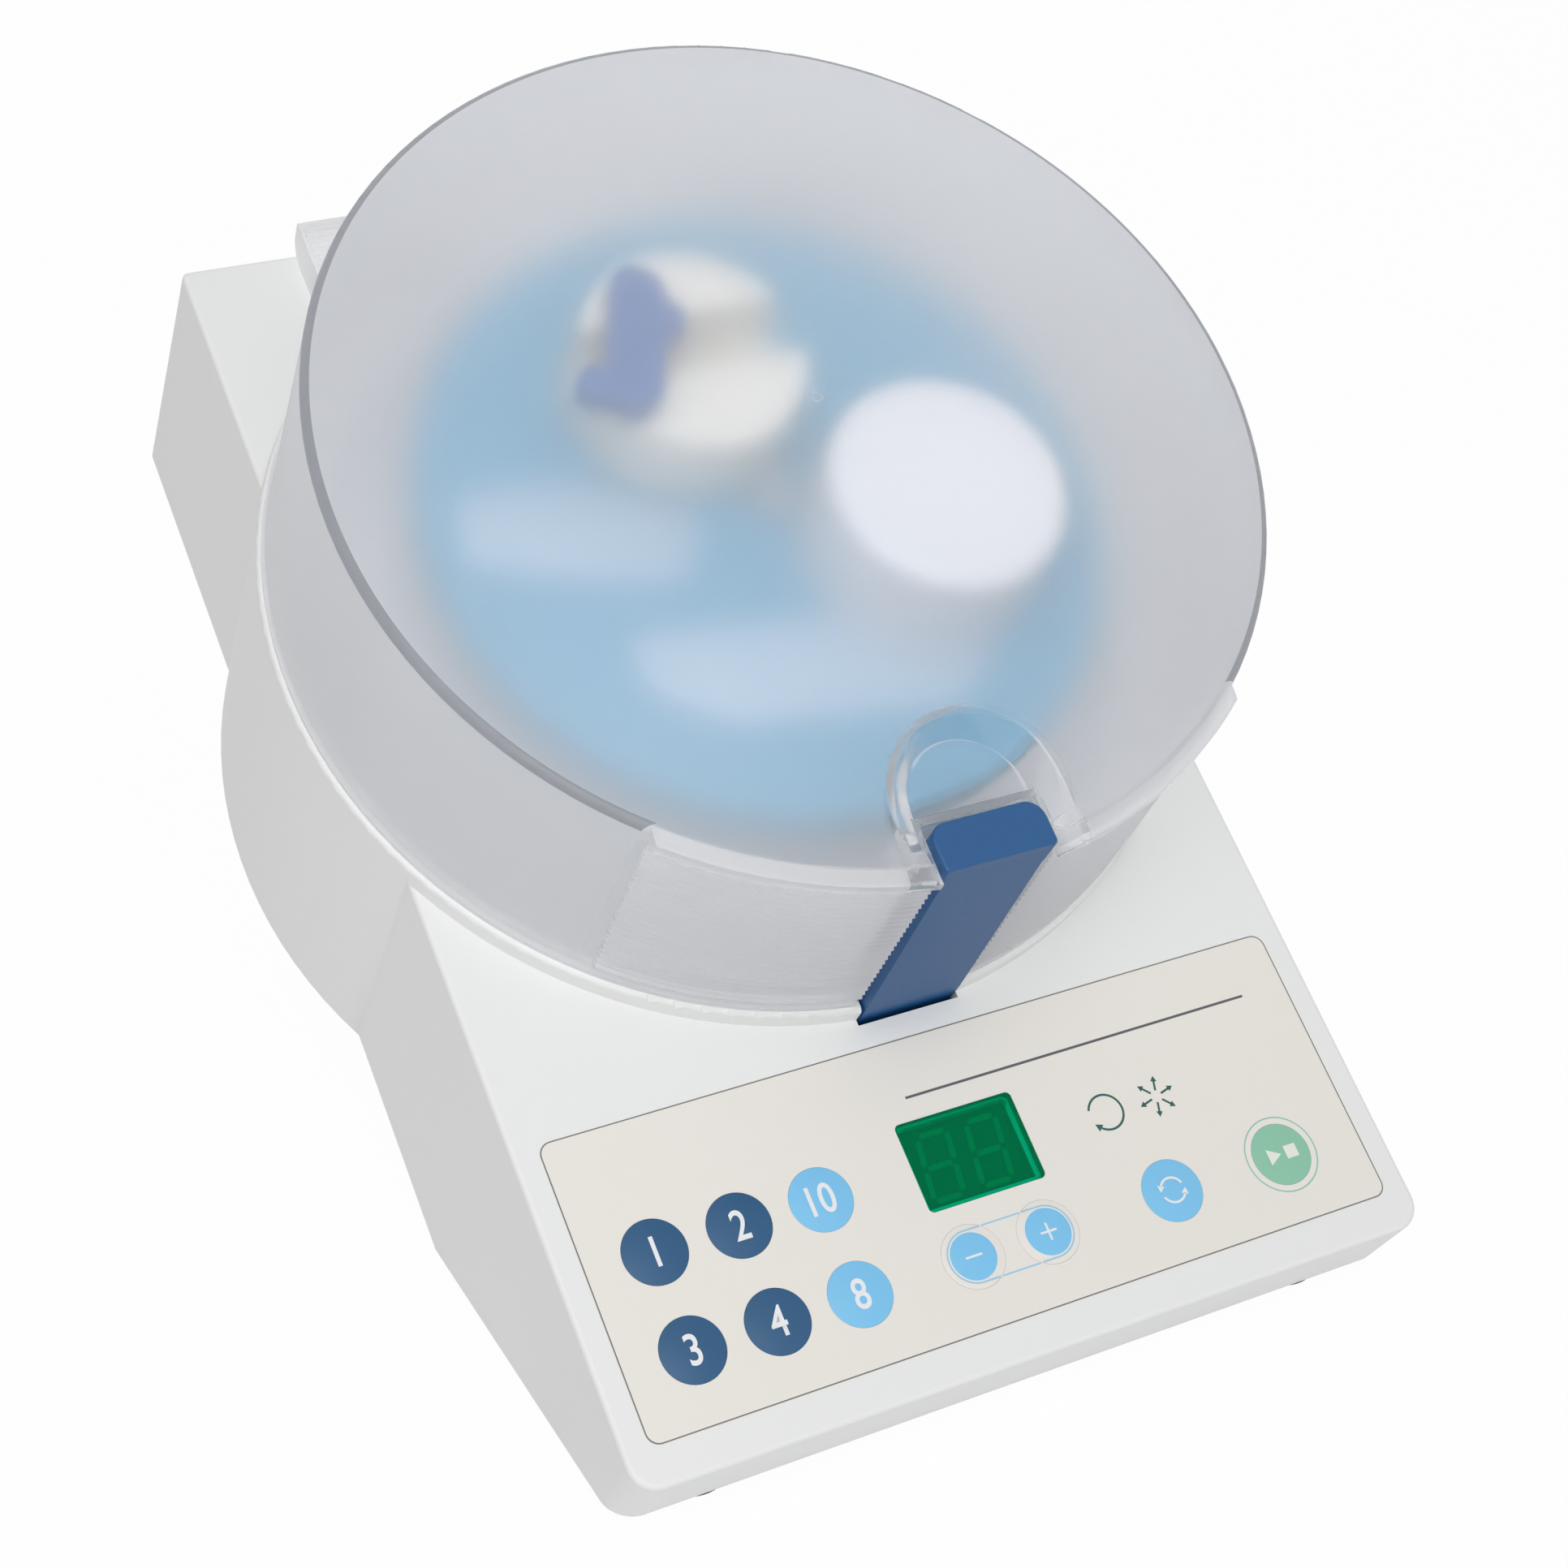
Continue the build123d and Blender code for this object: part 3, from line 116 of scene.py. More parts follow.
class Finish:
    # one material under construction
    def __init__(self, name):
        self.material = bpy.data.materials.new(name)
        self.material.use_nodes = True
        self.tree = self.material.node_tree
        self.tree.nodes.clear()

    def add(self, kind, settings=None, values=None, take=0):
        node = self.tree.nodes.new(kind)
        for key, value in (settings or {}).items():
            setattr(node, key, value)
        for key, value in (values or {}).items():
            if isinstance(value, Wire):
                self.tree.links.new(value.socket, node.inputs[key])
            else:
                node.inputs[key].default_value = value
        return None if take is None else Wire(self.tree, node.outputs[take])

    def place(self):
        return self.add("ShaderNodeTexCoord", take="Object")

    def deckPlace(self):
        # coordinates of the deck frame, in metres
        return self.add("ShaderNodeMapping", {"vector_type": "TEXTURE"},
                        {"Vector": self.place(), "Location": deckOrigin,
                         "Rotation": (deckFrame["slope"], 0, 0)})

    def noise(self, scale, detail=2.0, roughness=0.5):
        return self.add("ShaderNodeTexNoise", {"noise_dimensions": "3D"},
                        {"Vector": self.place(), "Scale": scale, "Detail": detail,
                         "Roughness": roughness})

    def blend(self, factor, first, second):
        return self.add("ShaderNodeMix", {"data_type": "RGBA"},
                        {0: factor, 6: first, 7: second}, take=2)

    def bump(self, height, strength, distance):
        return self.add("ShaderNodeBump", None,
                        {"Height": height, "Strength": strength, "Distance": distance})

    def shade(self, values):
        return self.add("ShaderNodeBsdfPrincipled", None, values)

    def deckAxes(self):
        split = self.tree.nodes.new("ShaderNodeSeparateXYZ")
        self.tree.links.new(self.deckPlace().socket, split.inputs[0])
        return [Wire(self.tree, output) for output in split.outputs]

    def letLampsThrough(self, shader, colour):
        # a clear stand-in for lamp rays, so that what is behind gets its light
        lamp = self.add("ShaderNodeLightPath", take="Is Shadow Ray")
        clear = self.add("ShaderNodeBsdfTransparent", None, {"Color": colour})
        return self.add("ShaderNodeMixShader", None, {0: lamp, 1: shader, 2: clear})

    def close(self, shader):
        self.add("ShaderNodeOutputMaterial", None, {"Surface": shader}, take=None)
        return self.material


def shadeOf(red, green, blue):
    # screen colour, 0 to 255, to the renderer's linear colour
    def straight(value):
        value = value / 255
        return value / 12.92 if value <= 0.04045 else ((value + 0.055) / 1.055) ** 2.4
    return (straight(red), straight(green), straight(blue), 1.0)


studio = {
    "floorColour": (0.93, 0.93, 0.935, 1),
    "floorGlow": 0.97,
    "worldLight": 0.41,
    "keyPower": 10.1,
    "keySize": 1.0,
    "keyPlace": (-0.38, -0.95, 1.0),
    "fillPower": 3.2,
    "fillSize": 1.2,
    "fillPlace": (0.35, 1.4, 0.3),
    "lampAim": (0, 0, 0.09),
    "floorSize": 4,
}


def seenDirectly(tree):
    # 1 for rays from the camera, also after a reflection or through a clear part
    path = tree.nodes.new("ShaderNodeLightPath")
    seen = Wire(tree, path.outputs["Is Camera Ray"])
    seen = seen + Wire(tree, path.outputs["Is Glossy Ray"])
    seen = seen + Wire(tree, path.outputs["Is Transmission Ray"])
    return seen > 0.5


def buildStudio():
    world = bpy.data.worlds.new("studioWorld")
    bpy.context.scene.world = world
    world.use_nodes = True
    tree = world.node_tree
    tree.nodes.clear()
    strength = seenDirectly(tree) * (1.0 - studio["worldLight"]) + studio["worldLight"]
    background = tree.nodes.new("ShaderNodeBackground")
    background.inputs["Color"].default_value = (1, 1, 1, 1)
    tree.links.new(strength.socket, background.inputs["Strength"])
    output = tree.nodes.new("ShaderNodeOutputWorld")
    tree.links.new(background.outputs[0], output.inputs["Surface"])

    floorShape = bmesh.new()
    bmesh.ops.create_grid(floorShape, x_segments=1, y_segments=1, size=studio["floorSize"])
    floorMesh = bpy.data.meshes.new("studioFloor")
    floorShape.to_mesh(floorMesh)
    floorShape.free()
    floor = bpy.data.objects.new("studioFloor", floorMesh)
    bpy.context.scene.collection.objects.link(floor)
    finish = Finish("studioFloor")
    shownGlow = seenDirectly(finish.tree) * studio["floorGlow"]
    plain = finish.shade({"Base Color": studio["floorColour"], "Roughness": 0.9,
                          "Specular IOR Level": 0.0})
    glow = finish.add("ShaderNodeEmission", None, {"Color": (1, 1, 1, 1), "Strength": 1.0})
    mixed = finish.add("ShaderNodeMixShader", None, {0: shownGlow, 1: plain, 2: glow})
    floorMesh.materials.append(finish.close(mixed))

    for name in ("key", "fill"):
        light = bpy.data.lights.new(name + "Light", "AREA")
        light.shape = "SQUARE"
        light.size = studio[name + "Size"]
        light.energy = studio[name + "Power"]
        lamp = bpy.data.objects.new(name + "Light", light)
        lamp.location = studio[name + "Place"]
        aim = Vector(studio["lampAim"]) - lamp.location
        lamp.rotation_euler = aim.to_track_quat("-Z", "Y").to_euler()
        bpy.context.scene.collection.objects.link(lamp)


buildStudio()
print("stage: camera and studio ready")


# middles of the round keys: across, and up from the console's front edge
keyRows = {"upper": 0.03935, "lower": 0.02085}
keySpots = {
    "preset_key_1": (-0.06405, keyRows["upper"]),
    "preset_key_2": (-0.04755, keyRows["upper"]),
    "preset_key_3": (-0.06405, keyRows["lower"]),
    "preset_key_4": (-0.04755, keyRows["lower"]),
    "time_key_10": (-0.03115, keyRows["upper"]),
    "time_key_8": (-0.03115, keyRows["lower"]),
    "minus_key": (-0.0079, keyRows["lower"]),
    "plus_key": (0.0079, keyRows["lower"]),
    "mode_key": (0.0351, keyRows["lower"]),
    "start_key": (0.0599, keyRows["lower"]),
}
signDisc = {
    "radius": 0.00455,
    "paperColour": shadeOf(236, 232, 225),
    "discColour": shadeOf(126, 198, 240),
}


def mouldedPlastic(name, look):
    # moulded plastic with a fine spark-eroded grain
    finish = Finish(name)
    clouds = finish.noise(14, 3)
    speckle = finish.noise(look["grainScale"], 3, 0.6)
    drift = look["drift"]
    lighter = tuple(min(1.0, c * (1 + drift)) for c in look["colour"][:3]) + (1,)
    darker = tuple(c * (1 - drift) for c in look["colour"][:3]) + (1,)
    colour = finish.blend(clouds, darker, lighter)
    rough = look["roughness"] + (speckle - 0.5) * 0.12
    grain = finish.bump(speckle, look.get("grainStrength", 0.25), look.get("grainDepth", 0.00003))
    shader = finish.shade({"Base Color": colour, "Roughness": rough, "Normal": grain,
                           "IOR": 1.5, "Coat Weight": look.get("coat", 0.0)})
    return finish.close(shader)


def machinedMetal(name, look):
    # turned or rolled metal with fine scratches
    finish = Finish(name)
    streaks = finish.noise(look["streakScale"], 6, 0.7)
    spots = finish.noise(90, 3)
    colour = finish.blend(spots, look["darkColour"], look["colour"])
    rough = look["roughness"] + (streaks - 0.5) * 0.2
    shader = finish.shade({"Base Color": colour, "Metallic": 1.0, "Roughness": rough,
                           "Normal": finish.bump(streaks, 0.12, 0.00002)})
    return finish.close(shader)


def softRubber(name, look):
    finish = Finish(name)
    fine = finish.noise(1400, 4, 0.7)
    dust = finish.noise(60, 4)
    colour = finish.blend(dust * 0.3, look["colour"], look["dustColour"])
    shader = finish.shade({"Base Color": colour, "Roughness": 0.75 + (fine - 0.5) * 0.2,
                           "Normal": finish.bump(fine, 0.3, 0.00004)})
    return finish.close(shader)


def circuitBoard(name, look):
    # solder mask with faint tracks
    finish = Finish(name)
    cells = finish.add("ShaderNodeTexVoronoi", {"feature": "DISTANCE_TO_EDGE"},
                       {"Vector": finish.place(), "Scale": look["trackScale"]})
    track = cells < 0.08
    colour = finish.blend(track, look["colour"], look["trackColour"])
    shader = finish.shade({"Base Color": colour, "Roughness": 0.35 + track * 0.1,
                           "Normal": finish.bump(track, 0.2, 0.00003)})
    return finish.close(shader)


lidLook = {
    "colour": shadeOf(246, 246, 248),
    # the rim's darker grey is painted shade for the rounded rim
    "rimPaintedShade": shadeOf(166, 168, 174),
    "hazeColour": shadeOf(238, 238, 239),
    "topHaze": 0.15,
    "wallHaze": 0.62,
    "gripHaze": 0.46,
    "clearHaze": 0.14,
    "topRough": 0.36,
    "wallRough": 0.34,
    "gripRough": 0.22,
    "clearRough": 0.14,
    "frostScale": 1500,
    "rimRadius": 0.08975,
    "rimLow": 0.1279,
    "topLow": 0.1268,
    "topRadius": 0.0905,
    "lampColour": (0.88, 0.88, 0.89, 1),
    "recess": {"centre": -0.0811, "reach": 0.0180, "rear": -0.055, "low": 0.125},
    "gripFront": -0.0695,
    "gripTop": 0.1254,
    "gripLow": 0.078,
}


def frostedLid(name):
    # etched on top, milky down the wall, clearer in the thumb recess, with painted shade darkening the
    # rounded rim
    finish = Finish(name)
    across, along, up = finish.deckAxes()
    frost = finish.noise(lidLook["frostScale"], 2, 0.6)
    radiusSquared = across * across + along * along
    onTop = (up > lidLook["topLow"]) * (radiusSquared < lidLook["topRadius"] ** 2)
    scoop = lidLook["recess"]
    behind = along - scoop["centre"]
    behind = behind * (behind > 0)
    recess = (across * across + behind * behind) < scoop["reach"] ** 2
    recess = recess * (along < scoop["rear"]) * (up > scoop["low"])
    grip = (along < lidLook["gripFront"]) * (up < lidLook["gripTop"]) * (up > lidLook["gripLow"])
    rim = (radiusSquared > lidLook["rimRadius"] ** 2) * (up > lidLook["rimLow"])
    rim = rim * (along > lidLook["gripFront"])
    top = onTop * (1 - recess) * (1 - rim)
    rough = lidLook["wallRough"] + top * (lidLook["topRough"] - lidLook["wallRough"])
    rough = rough - recess * (lidLook["wallRough"] - lidLook["clearRough"])
    rough = rough - grip * (lidLook["wallRough"] - lidLook["gripRough"])
    rough = rough + (frost - 0.5) * 0.06
    grain = finish.bump(frost * (top * 0.8 + 0.2), 0.35, 0.00004)
    # the rim gets a darker tint here: painted shade, not a different plastic
    tint = finish.blend(rim, lidLook["colour"], lidLook["rimPaintedShade"])
    body = finish.shade({"Base Color": tint, "Roughness": rough, "Normal": grain,
                         "IOR": 1.4, "Transmission Weight": 1.0})
    # the haze colour turns to the same painted shade in the rim
    veilColour = finish.blend(rim, lidLook["hazeColour"], lidLook["rimPaintedShade"])
    veil = finish.add("ShaderNodeBsdfTranslucent", None, {"Color": veilColour})
    skin = finish.shade({"Base Color": veilColour, "Roughness": 0.4, "Normal": grain})
    cloudy = finish.add("ShaderNodeMixShader", None, {0: 0.4, 1: skin, 2: veil})
    haze = lidLook["wallHaze"] + top * (lidLook["topHaze"] - lidLook["wallHaze"])
    haze = haze - recess * (lidLook["wallHaze"] - lidLook["clearHaze"])
    haze = haze - grip * (lidLook["wallHaze"] - lidLook["gripHaze"])
    mixed = finish.add("ShaderNodeMixShader", None, {0: haze, 1: body, 2: cloudy})
    return finish.close(finish.letLampsThrough(mixed, lidLook["lampColour"]))


def clearGreen(name, look):
    # dyed filter sheet in front of the light segments
    finish = Finish(name)
    fine = finish.noise(900, 2)
    tint = finish.blend(fine, look["darkColour"], look["colour"])
    sheet = finish.shade({"Base Color": tint, "Roughness": 0.09 + (fine - 0.5) * 0.03, "IOR": 1.02,
                          "Transmission Weight": 1.0, "Specular IOR Level": 0.05})
    depth = finish.shade({"Base Color": look["skinColour"], "Roughness": 0.3,
                          "Specular IOR Level": 0.05})
    shown = finish.add("ShaderNodeMixShader", None, {0: look["skin"], 1: sheet, 2: depth})
    return finish.close(finish.letLampsThrough(shown, look["lampColour"]))


def plainInk(name, colour, roughness=0.45):
    finish = Finish(name)
    fine = finish.noise(4000, 2)
    spread = finish.blend(fine, tuple(c * 0.94 for c in colour[:3]) + (1,), colour)
    shader = finish.shade({"Base Color": spread, "Roughness": roughness + (fine - 0.5) * 0.1})
    return finish.close(shader)


def printedDisc(name, look):
    # a printed disc on a cap of the label's own cream
    finish = Finish(name)
    across, along, up = finish.deckAxes()
    fine = finish.noise(3200, 3)
    along = along - (deckFrame["frontV"] + look["spot"][1])
    across = across - look["spot"][0]
    inside = (across * across + along * along) < look["radius"] ** 2
    colour = finish.blend(inside, look["paperColour"], look["discColour"])
    shader = finish.shade({"Base Color": colour, "Roughness": 0.38 + (fine - 0.5) * 0.1,
                           "Normal": finish.bump(fine, 0.12, 0.00002)})
    return finish.close(shader)


finishes = {
    "housing": mouldedPlastic("housingPlastic", {
        "colour": shadeOf(236, 237, 236), "roughness": 0.48, "grainScale": 2600,
        "grainStrength": 0.3, "grainDepth": 0.00002, "drift": 0.012}),
    "base": mouldedPlastic("basePlastic", {
        "colour": shadeOf(226, 226, 224), "roughness": 0.52, "grainScale": 2600, "drift": 0.015}),
    "label": mouldedPlastic("labelSheet", {
        "colour": shadeOf(236, 232, 225), "roughness": 0.38, "grainScale": 3200,
        "grainStrength": 0.12, "drift": 0.008}),
    "darkKey": mouldedPlastic("keyDarkBlue", {
        "colour": shadeOf(30, 84, 126), "roughness": 0.36, "grainScale": 2600, "drift": 0.03}),
    "lightKey": mouldedPlastic("keyLightBlue", {
        "colour": shadeOf(126, 198, 240), "roughness": 0.36, "grainScale": 2600, "drift": 0.02}),
    "latch": mouldedPlastic("latchBlue", {
        "colour": shadeOf(24, 84, 138), "roughness": 0.42, "grainScale": 1900,
        "grainStrength": 0.5, "grainDepth": 0.00004, "drift": 0.03}),
    "lid": frostedLid("frostedLid"),
    "rotor": mouldedPlastic("rotorBlue", {
        "colour": shadeOf(70, 145, 178), "roughness": 0.42, "grainScale": 1500, "drift": 0.03}),
    "holder": mouldedPlastic("holderBeige", {
        "colour": shadeOf(214, 212, 204), "roughness": 0.45, "grainScale": 1500, "drift": 0.03}),
    "white": mouldedPlastic("whitePlastic", {
        "colour": shadeOf(228, 229, 231), "roughness": 0.42, "grainScale": 1800, "drift": 0.015}),
    "black": mouldedPlastic("blackPlastic", {
        "colour": shadeOf(28, 28, 30), "roughness": 0.4, "grainScale": 1800, "drift": 0.1}),
    "steel": machinedMetal("brightSteel", {
        "colour": (0.62, 0.62, 0.64, 1), "darkColour": (0.5, 0.5, 0.52, 1),
        "roughness": 0.3, "streakScale": 700}),
    "iron": machinedMetal("bareIron", {
        "colour": (0.33, 0.32, 0.31, 1), "darkColour": (0.24, 0.23, 0.22, 1),
        "roughness": 0.5, "streakScale": 300}),
    "brass": machinedMetal("plainBrass", {
        "colour": (0.78, 0.60, 0.30, 1), "darkColour": (0.62, 0.45, 0.2, 1),
        "roughness": 0.32, "streakScale": 500}),
    "copper": machinedMetal("woundCopper", {
        "colour": (0.72, 0.38, 0.22, 1), "darkColour": (0.5, 0.24, 0.12, 1),
        "roughness": 0.4, "streakScale": 1200}),
    "caseMetal": mouldedPlastic("caseEnamel", {
        "colour": shadeOf(70, 73, 78), "roughness": 0.4, "grainScale": 900, "drift": 0.08, "coat": 0.3}),
    "rubber": softRubber("footRubber", {
        "colour": (0.02, 0.02, 0.021, 1), "dustColour": (0.09, 0.09, 0.09, 1)}),
    "seal": softRubber("sealRubber", {
        "colour": (0.25, 0.25, 0.26, 1), "dustColour": (0.35, 0.35, 0.35, 1)}),
    "board": circuitBoard("boardGreen", {
        "colour": (0.02, 0.16, 0.07, 1), "trackColour": (0.04, 0.26, 0.11, 1), "trackScale": 240}),
    "window": clearGreen("windowGreen", {
        "colour": (0.0, 0.62, 0.36, 1), "darkColour": (0.0, 0.56, 0.33, 1),
        "skinColour": (0.0, 0.19, 0.085, 1), "skin": 0.5, "lampColour": (0.1, 0.9, 0.5, 1)}),
    "module": mouldedPlastic("moduleFace", {
        "colour": (0.19, 0.24, 0.21, 1), "roughness": 0.5, "grainScale": 1600, "drift": 0.04}),
    "segment": mouldedPlastic("segmentResin", {
        "colour": (0.66, 0.76, 0.70, 1), "roughness": 0.4, "grainScale": 1600, "drift": 0.04}),
    "startKey": mouldedPlastic("keyGreen", {
        "colour": shadeOf(140, 198, 170), "roughness": 0.36, "grainScale": 2600, "drift": 0.02}),
    "minusKey": printedDisc("minusKey", {**signDisc, "spot": keySpots["minus_key"]}),
    "plusKey": printedDisc("plusKey", {**signDisc, "spot": keySpots["plus_key"]}),
    "cap": mouldedPlastic("capPlastic", {
        "colour": shadeOf(208, 211, 216), "roughness": 0.42, "grainScale": 1800, "drift": 0.015}),
    "lever": mouldedPlastic("leverBlue", {
        "colour": shadeOf(26, 84, 146), "roughness": 0.42, "grainScale": 1500, "drift": 0.03}),
    "band": mouldedPlastic("rotorBandBlue", {
        "colour": shadeOf(150, 177, 198), "roughness": 0.45, "grainScale": 1500, "drift": 0.02}),
    "ink": plainInk("darkInk", shadeOf(88, 88, 96)),
    # painted shadow for the gap round the label's edge
    "gapShadowInk": plainInk("gapShadowInk", shadeOf(122, 118, 110)),
    "whiteInk": plainInk("whiteInk", shadeOf(240, 242, 244)),
    "creamInk": plainInk("creamInk", shadeOf(236, 240, 228)),
    "paleBlueInk": plainInk("paleBlueInk", shadeOf(160, 206, 232)),
    "greenInk": plainInk("greenInk", shadeOf(150, 200, 176)),
    "darkGreenInk": plainInk("darkGreenInk", shadeOf(30, 92, 84)),
    "sprue": frostedLid("clearMark"),
}
print("stage: finishes ready")


def finishMesh(bm, name, body, material, sharpAngle=32, replaced=()):
    mesh = bpy.data.meshes.new(name)
    bm.to_mesh(mesh)
    bm.free()
    mesh.materials.clear()
    mesh.materials.append(material)
    # stored corner normals would override the sharp edges set below
    if "custom_normal" in mesh.attributes:
        mesh.attributes.remove(mesh.attributes["custom_normal"])
    mesh.shade_smooth()
    mesh.set_sharp_from_angle(angle=math.radians(sharpAngle))
    piece = bpy.data.objects.new(name, mesh)
    bpy.context.scene.collection.objects.link(piece)
    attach(piece, body)
    if replaced:
        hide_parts(*replaced)
    return piece


def bodyOf(node):
    bodies = frame["record"]["behaviour"]["bodies"]
    return next(body for body, nodes in bodies.items() if node in nodes)


def cleanCopy(node, name, material, sharpAngle=32):
    # the node's own shape with its seams merged, so that its rounded edges shade smoothly
    bm = bmesh.new()
    bm.from_mesh(frame["nodes"][node].data)
    bmesh.ops.remove_doubles(bm, verts=bm.verts, dist=0.000002)
    piece = finishMesh(bm, name, bodyOf(node), material, sharpAngle, (node,))
    weighted = piece.modifiers.new("weightedNormals", "WEIGHTED_NORMAL")
    weighted.keep_sharp = True
    weighted.weight = 60
    return piece


def topOf(node):
    # height of a node's top above the drum axis origin, square to the deck
    straighten = deckMatrix.inverted()
    return max((straighten @ vertex.co).z for vertex in frame["nodes"][node].data.vertices)


def thicken(bm, depth):
    # flat faces looking up get their thickness downwards
    bmesh.ops.recalc_face_normals(bm, faces=bm.faces)
    for face in bm.faces:
        if face.normal.z < 0:
            face.normal_flip()
    bmesh.ops.solidify(bm, geom=bm.faces[:], thickness=depth)


def onDeck(bm, place, turn=0.0):
    # from a flat drawing at the origin to a spot (u, v, w) of the deck
    bmesh.ops.recalc_face_normals(bm, faces=bm.faces)
    bm.transform(deckMatrix @ Matrix.Translation(place) @ Matrix.Rotation(turn, 4, "Z"))
    return bm


def barShape(bm, length, width, centre=(0, 0), turn=0.0):
    place = Matrix.Rotation(turn, 4, "Z") @ Matrix.Translation((centre[0], centre[1], 0))
    bmesh.ops.create_grid(bm, x_segments=1, y_segments=1, size=0.5,
                          matrix=place @ Matrix.Diagonal((length, width, 1, 1)))


def headShape(bm, size, centre, turn):
    # arrow head pointing along its own x
    made = bmesh.ops.create_circle(bm, cap_ends=True, segments=3, radius=size)
    for angle in (-math.pi / 2, turn):
        bmesh.ops.rotate(bm, verts=made["verts"], cent=(0, 0, 0), matrix=Matrix.Rotation(angle, 3, "Z"))
    bmesh.ops.translate(bm, verts=made["verts"], vec=(centre[0], centre[1], 0))


def ringShape(bm, outer, inner, segments=64, start=0.0, sweep=math.tau):
    first = [bm.verts.new((radius * math.cos(start), radius * math.sin(start), 0))
             for radius in (inner, outer)]
    edge = bm.edges.new(first)
    full = abs(sweep - math.tau) < 0.001
    bmesh.ops.spin(bm, geom=first + [edge], cent=(0, 0, 0), axis=(0, 0, 1), angle=sweep,
                   steps=segments, use_merge=full, use_duplicate=False)
    bmesh.ops.remove_doubles(bm, verts=bm.verts, dist=0.0000001)


def outline(bm, width):
    # keeps only a border of the one flat face that is there
    bmesh.ops.recalc_face_normals(bm, faces=bm.faces)
    inner = bm.faces[:]
    bmesh.ops.inset_region(bm, faces=inner, thickness=width, use_even_offset=True, use_boundary=True)
    bmesh.ops.delete(bm, geom=inner, context="FACES")


def roundedPlate(bm, length, width, radius, segments):
    barShape(bm, length, width)
    bmesh.ops.bevel(bm, geom=bm.verts[:], offset=radius, affect="VERTICES", segments=segments,
                    profile=0.5, material=-1, offset_type="OFFSET")


def textShape(words, height, stretch, boldness):
    # a word as a flat mesh, centred on the origin
    curve = bpy.data.curves.new("words", "FONT")
    curve.body = words
    curve.size = height
    curve.align_x = "CENTER"
    curve.align_y = "CENTER"
    curve.resolution_u = 6
    curve.offset = height * boldness
    holder = bpy.data.objects.new("words", curve)
    bpy.context.scene.collection.objects.link(holder)
    bpy.context.view_layer.update()
    flat = bpy.data.meshes.new_from_object(holder)
    bpy.data.objects.remove(holder)
    bm = bmesh.new()
    bm.from_mesh(flat)
    bpy.data.meshes.remove(flat)
    bmesh.ops.remove_doubles(bm, verts=bm.verts, dist=0.000001)
    across = [vertex.co.x for vertex in bm.verts]
    along = [vertex.co.y for vertex in bm.verts]
    middle = Vector(((min(across) + max(across)) / 2, (min(along) + max(along)) / 2, 0))
    bmesh.ops.translate(bm, verts=bm.verts, vec=-middle)
    bmesh.ops.scale(bm, verts=bm.verts, vec=(stretch, 1, 1))
    return bm


# node: its piece's name and finish
pieceFinishes = {
    "upper_housing": ("consoleShell", "housing"),
    "base_housing": ("baseShell", "base"),
    "rubber_feet": ("tableFeet", "rubber"),
    "base_screws": ("baseScrews", "steel"),
    "control_label": ("labelSheet", "label"),
    "display_window": ("displayWindow", "window"),
    "led_display": ("lightModule", "module"),
    "led_digits": ("digitSegments", "segment"),
    "lid": ("lidShell", "lid"),
    "latch_lever": ("latchLever", "latch"),
    "latch_pin": ("latchPin", "steel"),
    "latch_spring": ("latchSpring", "steel"),
    "hinge_pins": ("hingePins", "steel"),
    "lid_seal": ("lidSeal", "seal"),
    "lid_magnet": ("lidMagnet", "steel"),
    "lid_sensor": ("lidSensor", "white"),
    "chamber_bowl": ("mixingBowl", "white"),
    "bearing_plate": ("bearingPlate", "white"),
    "shaft_bearings": ("shaftBearings", "steel"),
    "drive_shaft": ("driveShaft", "steel"),
    "motor_case": ("motorCase", "caseMetal"),
    "stator": ("motorStator", "iron"),
    "armature": ("motorArmature", "iron"),
    "motor_flange": ("motorFlange", "steel"),
    "motor_mounts": ("motorMounts", "rubber"),
    "motor_screws": ("motorScrews", "steel"),
    "rotor_disc": ("rotorDisc", "rotor"),
    "rotor_nut": ("rotorNut", "steel"),
    "counterweight_cap": ("counterweightCap", "cap"),
    "balance_weight": ("balanceWeight", "brass"),
    "sun_wheel": ("sunWheel", "holder"),
    "planet_bush": ("planetBush", "brass"),
    "planet_shaft": ("planetShaft", "steel"),
    "planet_wheel": ("planetWheel", "white"),
    "planet_tyre": ("planetTyre", "rubber"),
    "capsule_holder": ("capsuleHolder", "holder"),
    "clamp_lever": ("clampLever", "lever"),
    "clamp_pin": ("clampPin", "steel"),
    "dome_switches": ("domeSwitches", "steel"),
    "control_board": ("controlBoard", "board"),
    "board_standoffs": ("boardStandoffs", "white"),
    "mains_inlet": ("mainsInlet", "black"),
    "inlet_pins": ("inletPins", "brass"),
    "fuse_holder": ("fuseHolder", "black"),
    "fuse_drawer": ("fuseDrawer", "black"),
    "switch_frame": ("switchFrame", "black"),
    "mains_switch": ("switchRocker", "black"),
    "transformer_core": ("transformerCore", "iron"),
    "transformer_coil": ("transformerCoil", "copper"),
    "power_board": ("powerBoard", "board"),
    "preset_key_1": ("presetKey1", "darkKey"),
    "preset_key_2": ("presetKey2", "darkKey"),
    "preset_key_3": ("presetKey3", "darkKey"),
    "preset_key_4": ("presetKey4", "darkKey"),
    "time_key_10": ("timeKey10", "lightKey"),
    "time_key_8": ("timeKey8", "lightKey"),
    "minus_key": ("minusKey", "minusKey"),
    "plus_key": ("plusKey", "plusKey"),
    "mode_key": ("modeKey", "lightKey"),
    "start_key": ("startKey", "startKey"),
}
for node, (name, finishName) in pieceFinishes.items():
    cleanCopy(node, name, finishes[finishName])
print("stage: console, lid and drive pieces dressed")


